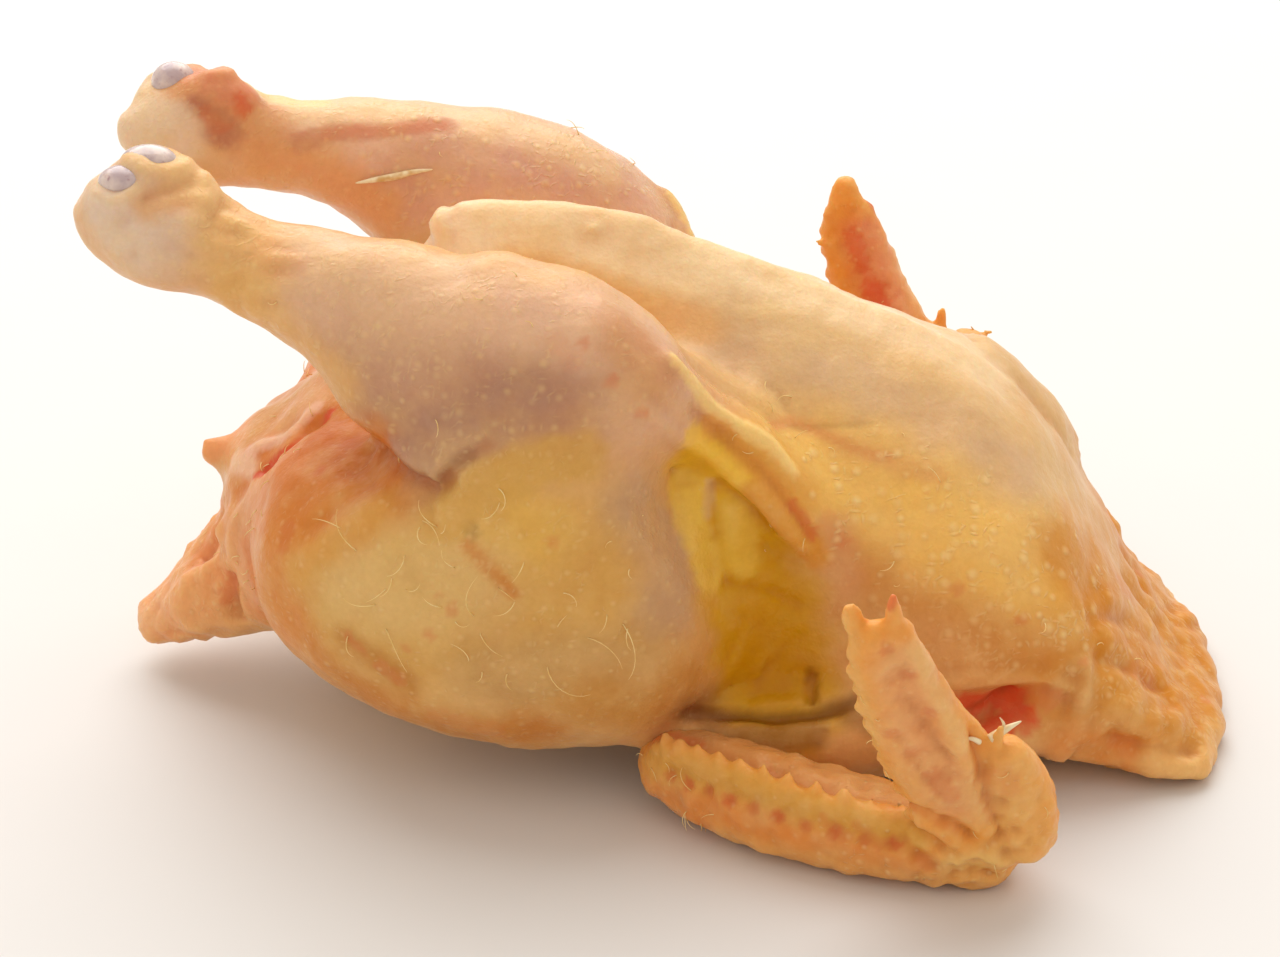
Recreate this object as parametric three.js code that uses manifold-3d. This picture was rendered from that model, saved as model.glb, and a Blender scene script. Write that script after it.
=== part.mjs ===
// A whole plucked and drawn chicken, lying on its back with its legs drawn up and its wings folded.
//
// Frame: millimetres, +Z up, the table is z = 0. +X points to the neck and -X to the tail; the bird's
// left side is -Y. The body is one closed skin. It is joined from lofts, each a row of superelliptic
// sections carried along a spine, and cut flat by the table that it rests on.
import * as THREE from "three";
import { mergeVertices } from "three/addons/utils/BufferGeometryUtils.js";
import Module from "manifold-3d";

// ---------------------------------------------------------------------------------------------
// Driving dimensions
// ---------------------------------------------------------------------------------------------

const LEFT = -1;
const RIGHT = 1;

// Sections across the trunk, from the vent to the loose skin of the neck. keel and back are the
// heights of its upper and lower line, half its half width, waist the height where it is widest,
// roof the exponent of the section above the waist (2 is round, less is a sharper keel) and lean how
// far its middle lies towards the right side.
const TRUNK = [
  { x: -104, keel: 58, back: 28, half: 18, waist: 42, roof: 2.2 },
  { x: -96, keel: 68, back: 22, half: 28, waist: 42, roof: 2.1 },
  { x: -82, keel: 80, back: 14, half: 35, waist: 44, roof: 1.9 },
  { x: -64, keel: 97, back: 5, half: 37, waist: 48, roof: 1.7 },
  { x: -51, keel: 121, back: 1, half: 38, waist: 50, roof: 1.4 },
  { x: -38, keel: 129, back: -2, half: 39, waist: 52, roof: 1.35 },
  { x: -8, keel: 127, back: -4, half: 41, waist: 52, roof: 1.4 },
  { x: 22, keel: 117, back: -4, half: 45, waist: 50, roof: 1.5 },
  { x: 50, keel: 105, back: -4, half: 53, waist: 46, roof: 1.6 },
  { x: 80, keel: 91, back: -4, half: 58, waist: 38, roof: 1.7 },
  { x: 100, keel: 72, back: -4, half: 56, waist: 30, roof: 1.8 },
  { x: 116, keel: 43, back: -4, half: 50, waist: 18, roof: 2.0, lean: -3 },
  { x: 132, keel: 17, back: -3, half: 45, waist: 8, roof: 2.4, lean: -6 },
  { x: 147, keel: 7, back: -2, half: 40, waist: 3, roof: 2.8, lean: -7 },
];
const BACK_SQUARENESS = 2.6;

// Limb sections are given for the left side, and the right side mirrors them. p is the spine's
// place, wide the half size across the limb, deep the half size along its up direction, and right
// how far the right side's station lies from the mirrored one.
const THIGH = [
  { p: [-90, -26, 50], wide: 12, deep: 12 },
  { p: [-76, -36, 52], wide: 22, deep: 24 },
  { p: [-50, -46, 52], wide: 27, deep: 38 },
  { p: [-24, -50, 58], wide: 27, deep: 49 },
  { p: [-6, -51, 67], wide: 25, deep: 48 },
  { p: [7, -46, 78], wide: 18, deep: 36 },
];
const DRUMSTICK = [
  { p: [-131, -30, 138], wide: 8, deep: 8, right: [1, 0, -2] },
  { p: [-117, -30, 135], wide: 13, deep: 14, right: [0, 0, -1] },
  { p: [-105, -31, 131], wide: 13, deep: 14, right: [0, 0, 1] },
  { p: [-93, -32, 126], wide: 11, deep: 12, right: [0, 0, 3] },
  { p: [-77, -35, 121.5], wide: 14, deep: 13.5, right: [0, 0, 5] },
  { p: [-58, -39, 114.5], wide: 18, deep: 20.5, right: [0, 0, 4] },
  { p: [-40, -43, 106], wide: 22, deep: 28, right: [0, 0, 1] },
  { p: [-20, -47, 105], wide: 22, deep: 27, right: [-1, 0, -7] },
  { p: [0, -48, 100], wide: 19, deep: 22, right: [-2, 0, -11] },
  { p: [12, -46, 94], wide: 12, deep: 15, right: [-2, 0, -9] },
];
const UPPER_WING = [
  { p: [98, -40, 22], wide: 13, deep: 14 },
  { p: [82, -48, 20], wide: 13, deep: 14 },
  { p: [44, -57, 15], wide: 10, deep: 11 },
  { p: [16, -58, 12], wide: 9, deep: 10 },
  { p: [5, -57, 11], wide: 6, deep: 7 },
];
const FOREARM = [
  { p: [4, -60, 13], wide: 7, deep: 7 },
  { p: [18, -69, 12], wide: 10, deep: 10 },
  { p: [36, -78, 11], wide: 12, deep: 11 },
  { p: [58, -86, 10], wide: 12, deep: 10 },
  { p: [78, -89, 10], wide: 12, deep: 10 },
  { p: [93, -90, 10], wide: 9, deep: 10 },
];
const FOREARM_FORM = { exponent: 2.5 };
const HAND = [
  { p: [91, -92, 11], wide: 10, deep: 9 },
  { p: [83, -96, 22], wide: 13, deep: 8, right: [-3, 0, 0] },
  { p: [73, -102, 38], wide: 12, deep: 6.5, right: [-6, 0, 2] },
  { p: [64, -107, 57], wide: 10, deep: 5, right: [-7, 0, 4] },
  { p: [57, -112, 79], wide: 7, deep: 3.5, right: [-8, 0, 6] },
];
const THUMB = [
  { p: [92, -94, 12], wide: 8, deep: 8 },
  { p: [91, -98, 27], wide: 8, deep: 6.5, right: [-2, 0, 2] },
  { p: [85, -103, 43], wide: 6, deep: 5, right: [-4, 0, 7] },
];
const TAIL = [
  { p: [-88, 0, 34], wide: 28, deep: 20 },
  { p: [-104, 0, 24], wide: 21, deep: 13 },
  { p: [-117, 0, 14.5], wide: 12, deep: 8 },
  { p: [-128, 0, 10], wide: 6, deep: 4.5 },
];

// Skin that stretches between two parts: the fold from the knee down over the flank, the sheet of fat
// between the thigh and the breast, and the rim of the skin round the vent with the full skin beside
// it. The vent's cut is a lens taken out of the skin, its tab a small horn.
const KNEE_FOLD = [
  { p: [0, -38, 100], wide: 18, deep: 10, right: [0, 0, -10] },
  { p: [16, -40, 95], wide: 15, deep: 9, right: [0, 0, -10] },
  { p: [30, -42, 84], wide: 13, deep: 8, right: [0, 0, -6] },
  { p: [42, -44, 68], wide: 11, deep: 7, right: [0, 0, -2] },
  { p: [50, -46, 54], wide: 8, deep: 5 },
];
const FAT_WEB = [
  { p: [14, -36, 94], wide: 9, deep: 6 },
  { p: [19, -40, 82], wide: 13, deep: 7 },
  { p: [23, -41, 68], wide: 15, deep: 7 },
  { p: [27, -41, 52], wide: 17, deep: 7 },
  { p: [30, -42, 36], wide: 18, deep: 8 },
  { p: [32, -42, 20], wide: 17, deep: 9 },
  { p: [33, -43, 6], wide: 14, deep: 9 },
];
const VENT_RIM = [
  { p: [-80, -12, 74], wide: 4, deep: 4 },
  { p: [-91, -15, 62], wide: 6, deep: 6 },
  { p: [-96, -18, 49], wide: 6, deep: 6 },
  { p: [-92, -24, 35], wide: 6, deep: 6 },
  { p: [-84, -28, 28], wide: 5, deep: 5 },
];
const VENT_CUT = [
  { p: [-99, -10, 58], wide: 1, deep: 3 },
  { p: [-92, -11, 67], wide: 2, deep: 7 },
  { p: [-84, -11, 75], wide: 2, deep: 7 },
  { p: [-78, -10, 81], wide: 1, deep: 3 },
];
const VENT_TAB = [
  { p: [-88, 2, 56], wide: 6, deep: 8 },
  { p: [-99, 3, 57], wide: 5, deep: 6 },
  { p: [-106, 3, 58.5], wide: 4, deep: 4.2 },
  { p: [-112, 3, 59.5], wide: 3.2, deep: 3 },
];
const VENT_CHEEK = [
  { p: [-74, -30, 82], wide: 7, deep: 7 },
  { p: [-81, -34, 70], wide: 9, deep: 9 },
  { p: [-84, -36, 57], wide: 9, deep: 9 },
  { p: [-83, -37, 44], wide: 8, deep: 8 },
];

// The knobs of each hock, where the foot was cut off at the joint and the skin drew back.
const HOCK_KNOBS = [
  { sides: [LEFT, RIGHT], p: [-119, -34, 142], radii: [8, 7, 6] },
  { sides: [LEFT], p: [-110, -28, 146], radii: [9, 7, 6] },
  { sides: [LEFT], p: [-101, -30, 143], radii: [7, 6.5, 7] },
  { sides: [RIGHT], p: [-104, -26, 143], radii: [11, 8, 8] },
  { sides: [RIGHT], p: [-124, -26, 134], radii: [8, 7, 8] },
];

// A row of feather stubs along the upper outer edge of each forearm: the shares of its spine where
// the row starts and ends, the angle round its section, and the radii of a stub.
const STUBS = { count: 12, from: 0.14, to: 0.72, angle: (40 * Math.PI) / 180, radii: [2.2, 3, 3.5] };

// The cut tip and the thumb of a wing each end in a short spike.
const SPIKES = [
  [
    { p: [62, -111, 72], wide: 3, deep: 2.5, right: [-8, 0, 6] },
    { p: [61, -112, 79], wide: 2.2, deep: 2, right: [-8, 0, 4] },
    { p: [60, -113, 86], wide: 0.8, deep: 0.8, right: [-8, 0, 1] },
  ],
  [
    { p: [82, -102, 38], wide: 3, deep: 3, right: [-6, 0, 7] },
    { p: [84, -104, 44], wide: 2, deep: 2, right: [-7, 0, 7] },
    { p: [86, -105, 50], wide: 0.8, deep: 0.8, right: [-9, 0, 7] },
  ],
];

const TABLE = { side: 1000, thickness: 100 };
const SKIN = { color: 0xdcae78, roughness: 0.42, metalness: 0 };

// ---------------------------------------------------------------------------------------------
// Lofts
// ---------------------------------------------------------------------------------------------

const smoothCurve = (points) => new THREE.CatmullRomCurve3(points, false, "catmullrom");

// A superellipse's coordinate: cos or sin raised to 2 / exponent, with its sign kept.
function bent(value, exponent) {
  return Math.sign(value) * Math.abs(value) ** (2 / exponent);
}

// A closed geometry from rings of points; each end is closed by a fan to its pole.
function skin(rings, firstPole, lastPole) {
  const sides = rings[0].length;
  const points = [firstPole, ...rings.flat(), lastPole];
  const last = points.length - 1;
  const index = [];
  for (let side = 0; side < sides; side += 1) {
    const next = (side + 1) % sides;
    index.push(0, 1 + next, 1 + side);
    for (let ring = 0; ring < rings.length - 1; ring += 1) {
      const near = 1 + ring * sides;
      const far = near + sides;
      index.push(near + side, near + next, far + next, near + side, far + next, far + side);
    }
    index.push(last, last - sides + side, last - sides + next);
  }
  const geometry = new THREE.BufferGeometry().setFromPoints(points);
  geometry.setIndex(index);
  return geometry;
}

// Shares of the way along a loft where its rings stand: closer together towards the two ends.
function ringShares(count) {
  return Array.from({ length: count }, (_, i) => 0.5 - 0.5 * Math.cos((Math.PI * (i + 0.5)) / count));
}

// How full a section is at a share of the way: round over the first and last part of the loft.
function fullness(share, roundEnd) {
  const inset = Math.min(share, 1 - share) / roundEnd;
  return inset >= 1 ? 1 : Math.sqrt(1 - (1 - inset) ** 2);
}

// A place given for the left side, on the side asked for.
function placed([x, y, z], side, shift = [0, 0, 0]) {
  return side === LEFT
    ? new THREE.Vector3(x, y, z)
    : new THREE.Vector3(x + shift[0], -(y + shift[1]), z + shift[2]);
}

// A limb's surface: the place at a share of the way along its spine and an angle round its section.
function surfaceOf(stations, side, { exponent = 2.1, roundEnd = 0.1, up = [0, 0, 1] } = {}) {
  const spine = smoothCurve(stations.map(({ p, right }) => placed(p, side, right)));
  const sizes = smoothCurve(stations.map(({ wide, deep }) => new THREE.Vector3(wide, deep, 0)));
  const upward = placed(up, side);
  const at = (share, angle) => {
    const along = spine.getTangent(share);
    const across = new THREE.Vector3().crossVectors(upward, along).normalize();
    const deepWay = new THREE.Vector3().crossVectors(along, across);
    const size = sizes.getPoint(share).multiplyScalar(fullness(share, roundEnd));
    return spine
      .getPoint(share)
      .addScaledVector(across, size.x * bent(Math.cos(angle), exponent))
      .addScaledVector(deepWay, size.y * bent(Math.sin(angle), exponent));
  };
  return { at, spine };
}

// A limb: superelliptic sections along a smooth spine through the stations.
function limb(stations, side, { sides = 16, rings = 12, ...form } = {}) {
  const { at, spine } = surfaceOf(stations, side, form);
  const angles = Array.from({ length: sides }, (_, i) => (2 * Math.PI * i) / sides);
  const ringAt = (share) => angles.map((angle) => at(share, angle));
  return skin(ringShares(rings).map(ringAt), spine.getPoint(0), spine.getPoint(1));
}

// The trunk: a roofed section with the keel on top and a flatter back below.
function trunk({ sides = 36, rings = 32, roundEnd = 0.05 } = {}) {
  const heights = smoothCurve(TRUNK.map(({ x, keel, back }) => new THREE.Vector3(x, keel, back)));
  const spans = smoothCurve(TRUNK.map(({ half, waist, roof }) => new THREE.Vector3(half, waist, roof)));
  const middles = smoothCurve(TRUNK.map(({ x, lean = 0, waist }) => new THREE.Vector3(x, lean, waist)));
  const ringAt = (share) => {
    const { x, y: keel, z: back } = heights.getPoint(share);
    const { x: half, y: waist, z: roof } = spans.getPoint(share);
    const { y: lean } = middles.getPoint(share);
    const full = fullness(share, roundEnd);
    return Array.from({ length: sides }, (_, i) => {
      const angle = (2 * Math.PI * i) / sides;
      const rise = Math.sin(angle);
      const exponent = rise > 0 ? roof : BACK_SQUARENESS;
      const reach = rise > 0 ? keel - waist : waist - back;
      return new THREE.Vector3(
        x,
        lean + full * half * bent(Math.cos(angle), exponent),
        waist + full * reach * bent(rise, exponent),
      );
    });
  };
  return skin(ringShares(rings).map(ringAt), middles.getPoint(0), middles.getPoint(1));
}

// A knob: a ball stretched to three radii.
function knob(centre, radii, sides) {
  const ball = new THREE.SphereGeometry(1, sides, Math.round(sides / 2)).rotateX(Math.PI / 2);
  return ball.scale(...radii).translate(centre.x, centre.y, centre.z);
}

function hockKnobs(side) {
  const own = HOCK_KNOBS.filter(({ sides }) => sides.includes(side));
  return own.map(({ p, radii }) => knob(placed(p, side), radii, 10));
}

// The feather stubs of one wing, evenly spaced along their row.
function stubs(side) {
  const { count, from, to, angle, radii } = STUBS;
  const { at } = surfaceOf(FOREARM, side, FOREARM_FORM);
  const outward = side === LEFT ? Math.PI - angle : angle;
  return Array.from({ length: count }, (_, i) =>
    knob(at(THREE.MathUtils.lerp(from, to, i / (count - 1)), outward), radii, 6),
  );
}

// ---------------------------------------------------------------------------------------------
// Joining
// ---------------------------------------------------------------------------------------------

const wasm = await Module();
wasm.setup();

function solidOf(geometry) {
  const bare = new THREE.BufferGeometry().setAttribute("position", geometry.getAttribute("position"));
  bare.setIndex(geometry.index);
  const merged = mergeVertices(bare, 1e-4);
  return new wasm.Manifold(
    new wasm.Mesh({
      numProp: 3,
      vertProperties: merged.attributes.position.array,
      triVerts: new Uint32Array(merged.index.array),
    }),
  );
}

function geometryOf(solid) {
  const { numProp, vertProperties, triVerts } = solid.getMesh();
  const count = vertProperties.length / numProp;
  const positions = new Float32Array(count * 3);
  for (let i = 0; i < count; i += 1) {
    positions.set(vertProperties.subarray(i * numProp, i * numProp + 3), i * 3);
  }
  const geometry = new THREE.BufferGeometry();
  geometry.setAttribute("position", new THREE.BufferAttribute(positions, 3));
  geometry.setIndex(new THREE.BufferAttribute(triVerts, 1));
  return geometry;
}

const SIDEWAYS = [0, 1, 0];
const parts = [
  trunk(),
  limb(TAIL, RIGHT),
  limb(VENT_TAB, LEFT, { sides: 8, rings: 6 }),
  limb(VENT_CHEEK, LEFT, { sides: 10, rings: 8 }),
];
for (const side of [LEFT, RIGHT]) {
  parts.push(
    limb(THIGH, side, { sides: 18, rings: 15, roundEnd: 0.2, exponent: 2.3 }),
    limb(DRUMSTICK, side, { sides: 18, rings: 20, roundEnd: 0.08 }),
    limb(KNEE_FOLD, side, { sides: 10, rings: 10, roundEnd: 0.3 }),
    limb(FAT_WEB, side, { sides: 8, rings: 8, up: SIDEWAYS }),
    limb(VENT_RIM, side, { sides: 8, rings: 10 }),
    limb(UPPER_WING, side, { sides: 12 }),
    limb(FOREARM, side, FOREARM_FORM),
    limb(HAND, side, { roundEnd: 0.06, exponent: 2.4, up: SIDEWAYS }),
    limb(THUMB, side, { sides: 12, rings: 8, roundEnd: 0.08, up: SIDEWAYS }),
    ...SPIKES.map((spike) => limb(spike, side, { sides: 6, rings: 4, up: SIDEWAYS })),
    ...hockKnobs(side),
    ...stubs(side),
  );
}
const { side: tableSide, thickness } = TABLE;
const cuts = [
  new THREE.BoxGeometry(tableSide, tableSide, thickness).translate(0, 0, -thickness / 2),
  limb(VENT_CUT, LEFT, { sides: 8, rings: 10 }),
];
const joined = parts.map(solidOf).reduce((sum, part) => sum.add(part));
const whole = cuts.map(solidOf).reduce((rest, cut) => rest.subtract(cut), joined);

const chicken = new THREE.Mesh(geometryOf(whole), new THREE.MeshStandardMaterial(SKIN));
chicken.name = "chicken";
const group = new THREE.Group();
group.add(chicken);
export default group;
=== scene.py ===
"""A whole raw chicken, corn fed and yellow skinned, plucked and drawn, lying on its back.

Every shape is worked out in millimetres in the frame's axes: +X points to the neck, -Y is the bird's
left side and +Z is up from the table. Meshes are written in metres.
"""
from functools import partial

import bpy
import numpy as np
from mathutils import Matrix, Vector


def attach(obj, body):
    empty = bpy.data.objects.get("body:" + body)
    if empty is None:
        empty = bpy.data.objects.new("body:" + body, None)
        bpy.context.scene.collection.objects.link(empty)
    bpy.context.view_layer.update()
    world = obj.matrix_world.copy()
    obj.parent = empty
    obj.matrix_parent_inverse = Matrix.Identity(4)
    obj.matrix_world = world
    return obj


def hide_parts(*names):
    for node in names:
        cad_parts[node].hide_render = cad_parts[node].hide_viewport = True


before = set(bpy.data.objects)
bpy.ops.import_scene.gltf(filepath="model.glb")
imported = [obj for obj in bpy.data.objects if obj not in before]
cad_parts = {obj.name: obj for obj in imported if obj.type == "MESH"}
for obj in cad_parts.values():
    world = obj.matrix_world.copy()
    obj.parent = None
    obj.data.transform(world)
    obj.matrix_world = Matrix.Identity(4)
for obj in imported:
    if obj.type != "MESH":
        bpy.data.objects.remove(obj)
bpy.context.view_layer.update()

MM = 0.001
LEFT, RIGHT = -1, 1    # the sign of y
SIDES = (LEFT, RIGHT)
LEFT_ONLY, RIGHT_ONLY = (LEFT,), (RIGHT,)
UPWARD, SIDEWAYS = (0, 0, 1), (0, 1, 0)

# ---- Sizes of the bird, in millimetres -----------------------------------------------------------

# Trunk sections from the vent to the neck skin: x, keel height, back height, half width, height of
# the widest place, exponent of the section above it (less is a sharper keel), lean to the right.
TRUNK = [
    (-104, 58, 28, 18, 42, 2.2, 0), (-96, 68, 22, 28, 42, 2.1, 0), (-82, 80, 14, 35, 44, 1.9, 0),
    (-64, 97, 5, 37, 48, 1.7, 0), (-51, 121, 1, 38, 50, 1.4, 0), (-38, 129, -2, 39, 52, 1.35, 0),
    (-8, 127, -4, 41, 52, 1.4, 0), (22, 117, -4, 45, 50, 1.5, 0), (50, 105, -4, 53, 46, 1.6, 0),
    (80, 91, -4, 58, 38, 1.7, 0), (100, 72, -4, 56, 30, 1.8, 0), (116, 43, -4, 50, 18, 2.0, -3),
    (132, 17, -3, 45, 8, 2.4, -6), (147, 7, -2, 40, 3, 2.8, -7),
]
BACK_SQUARENESS = 2.6    # the exponent of every section below its widest place

# Limb sections of the left side: x, y, z, half width across, half depth along up, and how far the
# right side's place lies from the mirrored one in x and in z.
THIGH = [
    (-90, -26, 50, 12, 12), (-76, -36, 52, 22, 24), (-50, -46, 52, 27, 38),
    (-24, -50, 58, 27, 49), (-6, -51, 67, 25, 48), (7, -46, 78, 18, 36),
]
DRUMSTICK = [
    (-131, -30, 138, 8, 8, 1, -2), (-117, -30, 135, 13, 14, 0, -1), (-105, -31, 131, 13, 14, 0, 1),
    (-93, -32, 126, 11, 12, 0, 3), (-77, -35, 121.5, 14, 13.5, 0, 5), (-58, -39, 114.5, 18, 20.5, 0, 4),
    (-40, -43, 106, 22, 28, 0, 1), (-20, -47, 105, 22, 27, -1, -7), (0, -48, 100, 19, 22, -2, -11),
    (12, -46, 94, 12, 15, -2, -9),
]
UPPER_WING = [
    (98, -40, 22, 13, 14), (82, -48, 20, 13, 14), (44, -57, 15, 10, 11), (16, -58, 12, 9, 10),
    (5, -57, 11, 6, 7),
]
FOREARM = [
    (4, -60, 13, 7, 7), (18, -69, 12, 10, 10), (36, -78, 11, 12, 11), (58, -86, 10, 12, 10),
    (78, -89, 10, 12, 10), (93, -90, 10, 9, 10),
]
HAND = [
    (91, -92, 11, 10, 9), (83, -96, 22, 13, 8, -3, 0), (73, -102, 38, 12, 6.5, -6, 2),
    (64, -107, 57, 10, 5, -7, 4), (57, -112, 79, 7, 3.5, -8, 6),
]
THUMB = [(92, -94, 12, 8, 8), (91, -98, 27, 8, 6.5, -2, 2), (85, -103, 43, 6, 5, -4, 7)]
TAIL = [(-88, 0, 34, 28, 20), (-104, 0, 24, 21, 13), (-117, 0, 14.5, 12, 8), (-128, 0, 10, 6, 4.5)]
KNEE_FOLD = [
    (0, -38, 100, 18, 10, 0, -10), (16, -40, 95, 15, 9, 0, -10), (30, -42, 84, 13, 8, 0, -6),
    (42, -44, 68, 11, 7, 0, -2), (50, -46, 54, 8, 5),
]
FAT_WEB = [
    (14, -36, 94, 9, 6), (19, -40, 82, 13, 7), (23, -41, 68, 15, 7), (27, -41, 52, 17, 7),
    (30, -42, 36, 18, 8), (32, -42, 20, 17, 9), (33, -43, 6, 14, 9),
]
VENT_RIM = [
    (-80, -12, 74, 4, 4), (-91, -15, 62, 6, 6), (-96, -18, 49, 6, 6), (-92, -24, 35, 6, 6),
    (-84, -28, 28, 5, 5),
]
VENT_TAB = [(-88, 2, 56, 6, 8), (-99, 3, 57, 5, 6), (-106, 3, 58.5, 4, 4.2), (-112, 3, 59.5, 3.2, 3)]
VENT_CHEEK = [(-74, -30, 82, 7, 7), (-81, -34, 70, 9, 9), (-84, -36, 57, 9, 9), (-83, -37, 44, 8, 8)]
# The knobs of the cut hocks: sides, place on the left, three radii.
HOCK_KNOBS = [
    (SIDES, (-119, -34, 142), (8, 7, 6)), (LEFT_ONLY, (-110, -28, 146), (9, 7, 6)),
    (LEFT_ONLY, (-101, -30, 143), (7, 6.5, 7)), (RIGHT_ONLY, (-104, -26, 143), (11, 8, 8)),
    (RIGHT_ONLY, (-124, -26, 134), (8, 7, 8)),
]

# Limbs that both sides have, and the tail and the skin at the vent with their lofts' rings and sides.
BODY_LIMBS = [
    (THIGH, dict(exponent=2.3, round_end=0.2)), (DRUMSTICK, dict(round_end=0.08)),
    (KNEE_FOLD, dict(round_end=0.3)), (FAT_WEB, dict(up=SIDEWAYS)), (VENT_RIM, {}), (UPPER_WING, {}),
]
LONE_LIMBS = [(TAIL, 40), (VENT_TAB, 16), (VENT_CHEEK, 32)]
WING_LIMBS = [
    (FOREARM, dict(exponent=2.5)), (HAND, dict(round_end=0.06, exponent=2.4, up=SIDEWAYS)),
    (THUMB, dict(round_end=0.08, up=SIDEWAYS)),
]

BODY_VOXEL = 2.95    # the body's mesh spacing before its quads are split
WING_VOXEL = 1.0

# Lines on the skin that more than one table follows, all on the left side.
BREAST = [(-40, -8, 122), (0, -12, 118), (29, -16, 106), (53, -20, 95), (77, -25, 84)]
BREAST_VEINS = ([(31, -28, 95), (34, -29, 93), (37, -32, 90)],
                [(37, -36, 89), (46, -33, 87), (56, -31, 87)])
FLANK_LINE = [(33, -39, 90), (39, -33, 87), (52, -35, 82)]
KNEE_RIDGE = [(16, -53, 107), (21, -51, 99), (26, -49, 94), (32, -47, 89)]
FAT = [(18, -52, 88), (24, -53, 66), (30, -53, 46), (32, -54, 26)]
FAT_NICK = [(43, -52, 31), (43, -54, 28), (44, -57, 25)]
UNDER_FAT = [(19, -59, 23), (26, -58, 21), (33, -59, 21), (42, -59, 22), (47, -59, 24), (54, -59, 27)]
DRUMSTICK_SIDE = [(-60, -44, 116), (-36, -52, 116), (-14, -54, 114)]
VENT_CUT = [(-92, -21, 64), (-88, -23, 69), (-84, -25, 74), (-79, -22, 77), (-74, -19, 81)]
VENT_LIP = [(-94, -13, 66), (-89, -16, 72), (-84, -18, 77), (-78, -15, 81)]
TAIL_END = [(-104, -12, 34), (-122, -6, 20)]

# Where skin stretches in a web between two forms, so that no crease stays: width, path on the left.
WEBS = [
    (10, [(10, -56, 92), (16, -54, 72), (20, -54, 50), (20, -56, 28)]),
    (8, [(6, -40, 112), (26, -43, 100), (44, -48, 78), (52, -50, 58)]),
    (12, [(-64, -45, 84), (-76, -38, 76), (-86, -38, 62), (-88, -38, 48), (-84, -36, 34)]),
    (10, [(-78, -22, 80), (-89, -26, 64), (-92, -30, 50), (-88, -32, 34)]),
    (8, [(-92, -12, 67), (-84, -12, 74), (-76, -12, 80), (-68, -10, 86)]),
    (8, [(2, -60, 90), (9, -53, 83), (12, -54, 72)]),
    (8, [(-6, -50, 118), (6, -47, 113), (16, -45, 106), (26, -42, 98)]),
    (8, [(48, -50, 64), (50, -50, 44), (50, -50, 24)]),
]

# ---- Curves, lofts and fields --------------------------------------------------------------------


def curve(points, share):
    """A smooth curve through the points. Between two of them it is the cubic whose slope at each is
    half the chord of its neighbours; past the ends the first and last chords run on straight."""
    p = np.asarray(points, float)
    p = np.vstack([2 * p[0] - p[1], p, 2 * p[-1] - p[-2]])
    along = np.clip(np.asarray(share, float), 0, 1) * (len(p) - 3)
    first = np.minimum(along.astype(int), len(p) - 4)
    t = (along - first)[..., None]
    a, b, c, d = p[first], p[first + 1], p[first + 2], p[first + 3]
    return 0.5 * (2 * b + (c - a) * t + (2 * a - 5 * b + 4 * c - d) * t**2 + (3 * b - a - 3 * c + d) * t**3)


def unit(vectors):
    """Vectors at length 1."""
    return vectors / np.maximum(np.linalg.norm(vectors, axis=-1, keepdims=True), 1e-9)


def bent(value, exponent):
    """A superellipse's coordinate: cos or sin raised to 2 / exponent, with its sign kept."""
    return np.sign(value) * np.abs(value) ** (2 / exponent)


def smoothstep(low, high, value):
    """0 up to low, 1 from high on, and a smooth rise between them."""
    t = np.clip((value - low) / (high - low), 0, 1)
    return t * t * (3 - 2 * t)


def places(table, side):
    """A limb table's spine places on one side of the bird, and its half sizes."""
    rows = np.array([tuple(row) + (0, 0) * (len(row) == 5) for row in table], float)
    place = rows[:, :3].copy()
    if side == RIGHT:
        place[:, 1] *= -1
        place[:, [0, 2]] += rows[:, 5:7]
    return place, rows[:, 3:5]


def tube_surface(place, size, exponent=2.1, round_end=0.1, up=UPWARD):
    """A limb's surface as a function of the share along its spine and the angle round its section.
    The section is a superellipse, half its width across the spine and half its depth along up, and
    it draws in as a quarter circle over the first and last part of the spine."""
    def at(share, angle):
        step = 1e-3
        tangent = unit(curve(place, share + step) - curve(place, share - step))
        across = unit(np.cross(up, tangent))
        deep = np.cross(tangent, across)
        inset = np.minimum(np.minimum(share, 1 - share) / round_end, 1)
        half = curve(size, share) * np.sqrt(1 - (1 - inset) ** 2)[..., None]
        return (curve(place, share) + across * (half[..., :1] * bent(np.cos(angle), exponent)[..., None])
                + deep * (half[..., 1:] * bent(np.sin(angle), exponent)[..., None]))

    return at


def limb_surface(table, side, up=UPWARD, **form):
    """The tube surface of a limb table on one side of the bird."""
    place, size = places(table, side)
    return tube_surface(place, size, up=np.array(up, float) * (1, -side, 1), **form)


def trunk_surface(share, angle):
    """The trunk's surface: superelliptic sections across x, roofed above the waist and flatter below,
    drawn in as a quarter circle at both ends."""
    x, keel, back, half, waist, roof, lean = np.moveaxis(curve(TRUNK, share), -1, 0)
    inset = np.minimum(np.minimum(share, 1 - share) / 0.05, 1)
    full = np.sqrt(1 - (1 - inset) ** 2)
    rise = np.sin(angle)
    exponent = np.where(rise > 0, roof, BACK_SQUARENESS)
    reach = np.where(rise > 0, keel - waist, waist - back)
    return np.stack([x, lean + full * half * bent(np.cos(angle), exponent),
                     waist + full * reach * bent(rise, exponent)], -1)


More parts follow.
